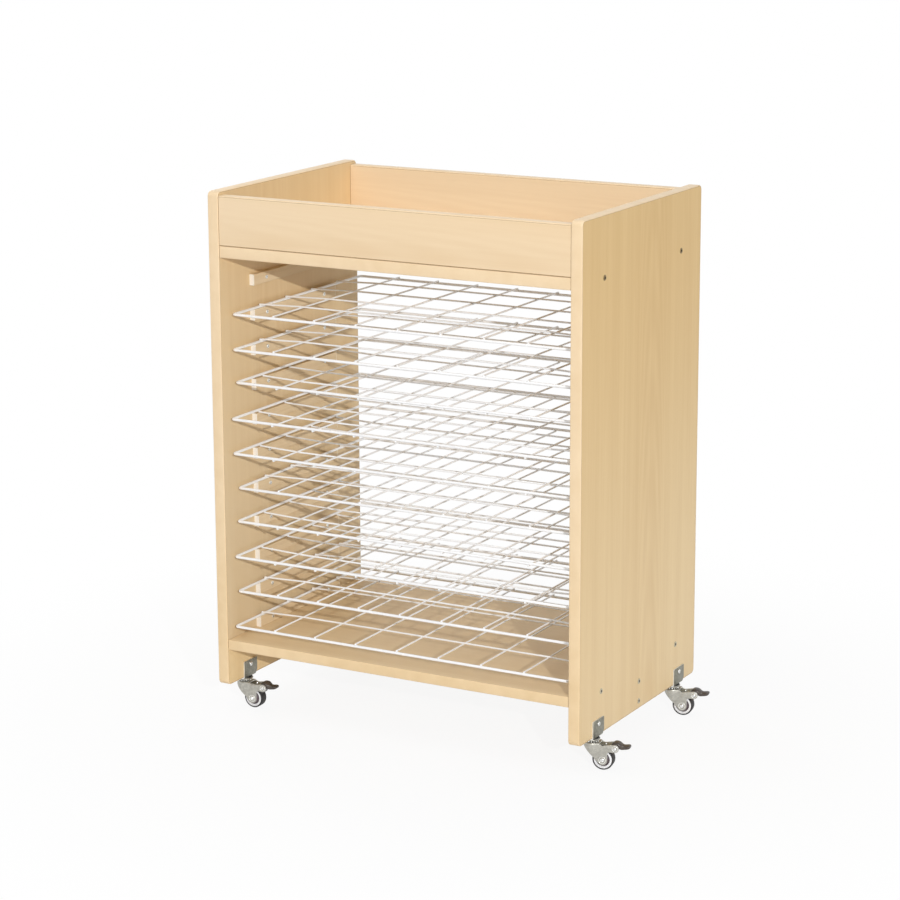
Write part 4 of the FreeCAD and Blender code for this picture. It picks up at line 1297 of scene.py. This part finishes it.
FLOOR = 4.0                          # half of the floor's width
floor_mesh = bpy.data.meshes.new("floor")
floor_corners = [(-FLOOR, -FLOOR, 0), (FLOOR, -FLOOR, 0), (FLOOR, FLOOR, 0), (-FLOOR, FLOOR, 0)]
floor_mesh.from_pydata(floor_corners, [], [(0, 1, 2, 3)])
floor = in_scene("floor", floor_mesh)
floor_material = bpy.data.materials.new("studio floor")
floor_graph = cleared(floor_material)
floor_paint = floor_graph.node("ShaderNodeBsdfDiffuse", {"Color": (0.86, 0.86, 0.86, 1.0)})
floor_white = floor_graph.node("ShaderNodeEmission", {"Color": (1, 1, 1, 1), "Strength": 1.0})
floor_place = floor_graph.node("ShaderNodeTexCoord").of("Object")
floor_far = floor_graph.node("ShaderNodeVectorMath", {0: floor_place}, operation="LENGTH").of("Value")
floor_share = looked_at(floor_graph) * (0.90 + floor_far.above(0.3, 1.1) * 0.10)
floor_mix = floor_graph.node("ShaderNodeMixShader", {0: floor_share, 1: floor_paint, 2: floor_white})
floor_graph.node("ShaderNodeOutputMaterial", {"Surface": floor_mix})
floor_mesh.materials.append(floor_material)

world = bpy.data.worlds.new("studio")
bpy.context.scene.world = world
world_graph = cleared(world)
world_seen = looked_at(world_graph)
world_way = world_graph.node("ShaderNodeTexCoord").of("Generated")
world_up = world_graph.node("ShaderNodeSeparateXYZ", {0: world_way}).of(2)
world_around = 0.18 + world_up.above(-0.1, 0.9) * 0.40
world_level = world_seen + (1.0 - world_seen) * world_around
world_light = world_graph.node("ShaderNodeBackground", {"Color": (1, 1, 1, 1), "Strength": world_level})
world_graph.node("ShaderNodeOutputWorld", {"Surface": world_light})


def away(azimuth, elevation):
    """The direction from the rack to a place round it, in degrees from its front and up."""
    a, e = math.radians(azimuth), math.radians(elevation)
    return Vector((math.sin(a) * math.cos(e), -math.cos(a) * math.cos(e), math.sin(e)))


RACK_MIDDLE = Vector((0, 0, 0.45))


def lamp(name, azimuth, elevation, distance, size, power):
    """A square softbox that looks at the middle of the rack."""
    data = bpy.data.lights.new(name, "AREA")
    data.size = size
    data.energy = power
    made = in_scene(name, data)
    back = away(azimuth, elevation)
    made.location = RACK_MIDDLE + back * distance
    made.rotation_euler = back.to_track_quat("Z", "Y").to_euler()


lamp("key softbox", 41.0, 16.4, 7.0, 0.07, 260.0)
lamp("top softbox", -20.0, 62.0, 2.4, 1.4, 12.5)
lamp("back softbox", 238.0, 24.0, 4.0, 1.2, 26.0)

CAMERA_AZIMUTH, CAMERA_ELEVATION, CAMERA_ROLL = 29.091, 13.537, -0.24
CAMERA_PLACE = (-0.01179, 0.35337, 4.4121)   # right, up and back from the rack's bottom
camera_data = bpy.data.cameras.new("camera")
camera_data.lens = 113.79
camera_data.sensor_width = 36.0
camera_data.clip_end = 50.0
camera = in_scene("camera", camera_data)
bpy.context.scene.camera = camera
roll = Matrix.Rotation(math.radians(CAMERA_ROLL), 3, "Z")
turn = away(CAMERA_AZIMUTH, CAMERA_ELEVATION).to_track_quat("Z", "Y").to_matrix() @ roll
left_low, right_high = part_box("side_panel_left")[0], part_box("side_panel_right")[1]
aim = Vector(((left_low.x + right_high.x) / 2, (left_low.y + right_high.y) / 2, left_low.z))
camera.location = aim + turn @ Vector(CAMERA_PLACE)
camera.rotation_euler = turn.to_euler()

bpy.context.scene.view_settings.view_transform = "Standard"
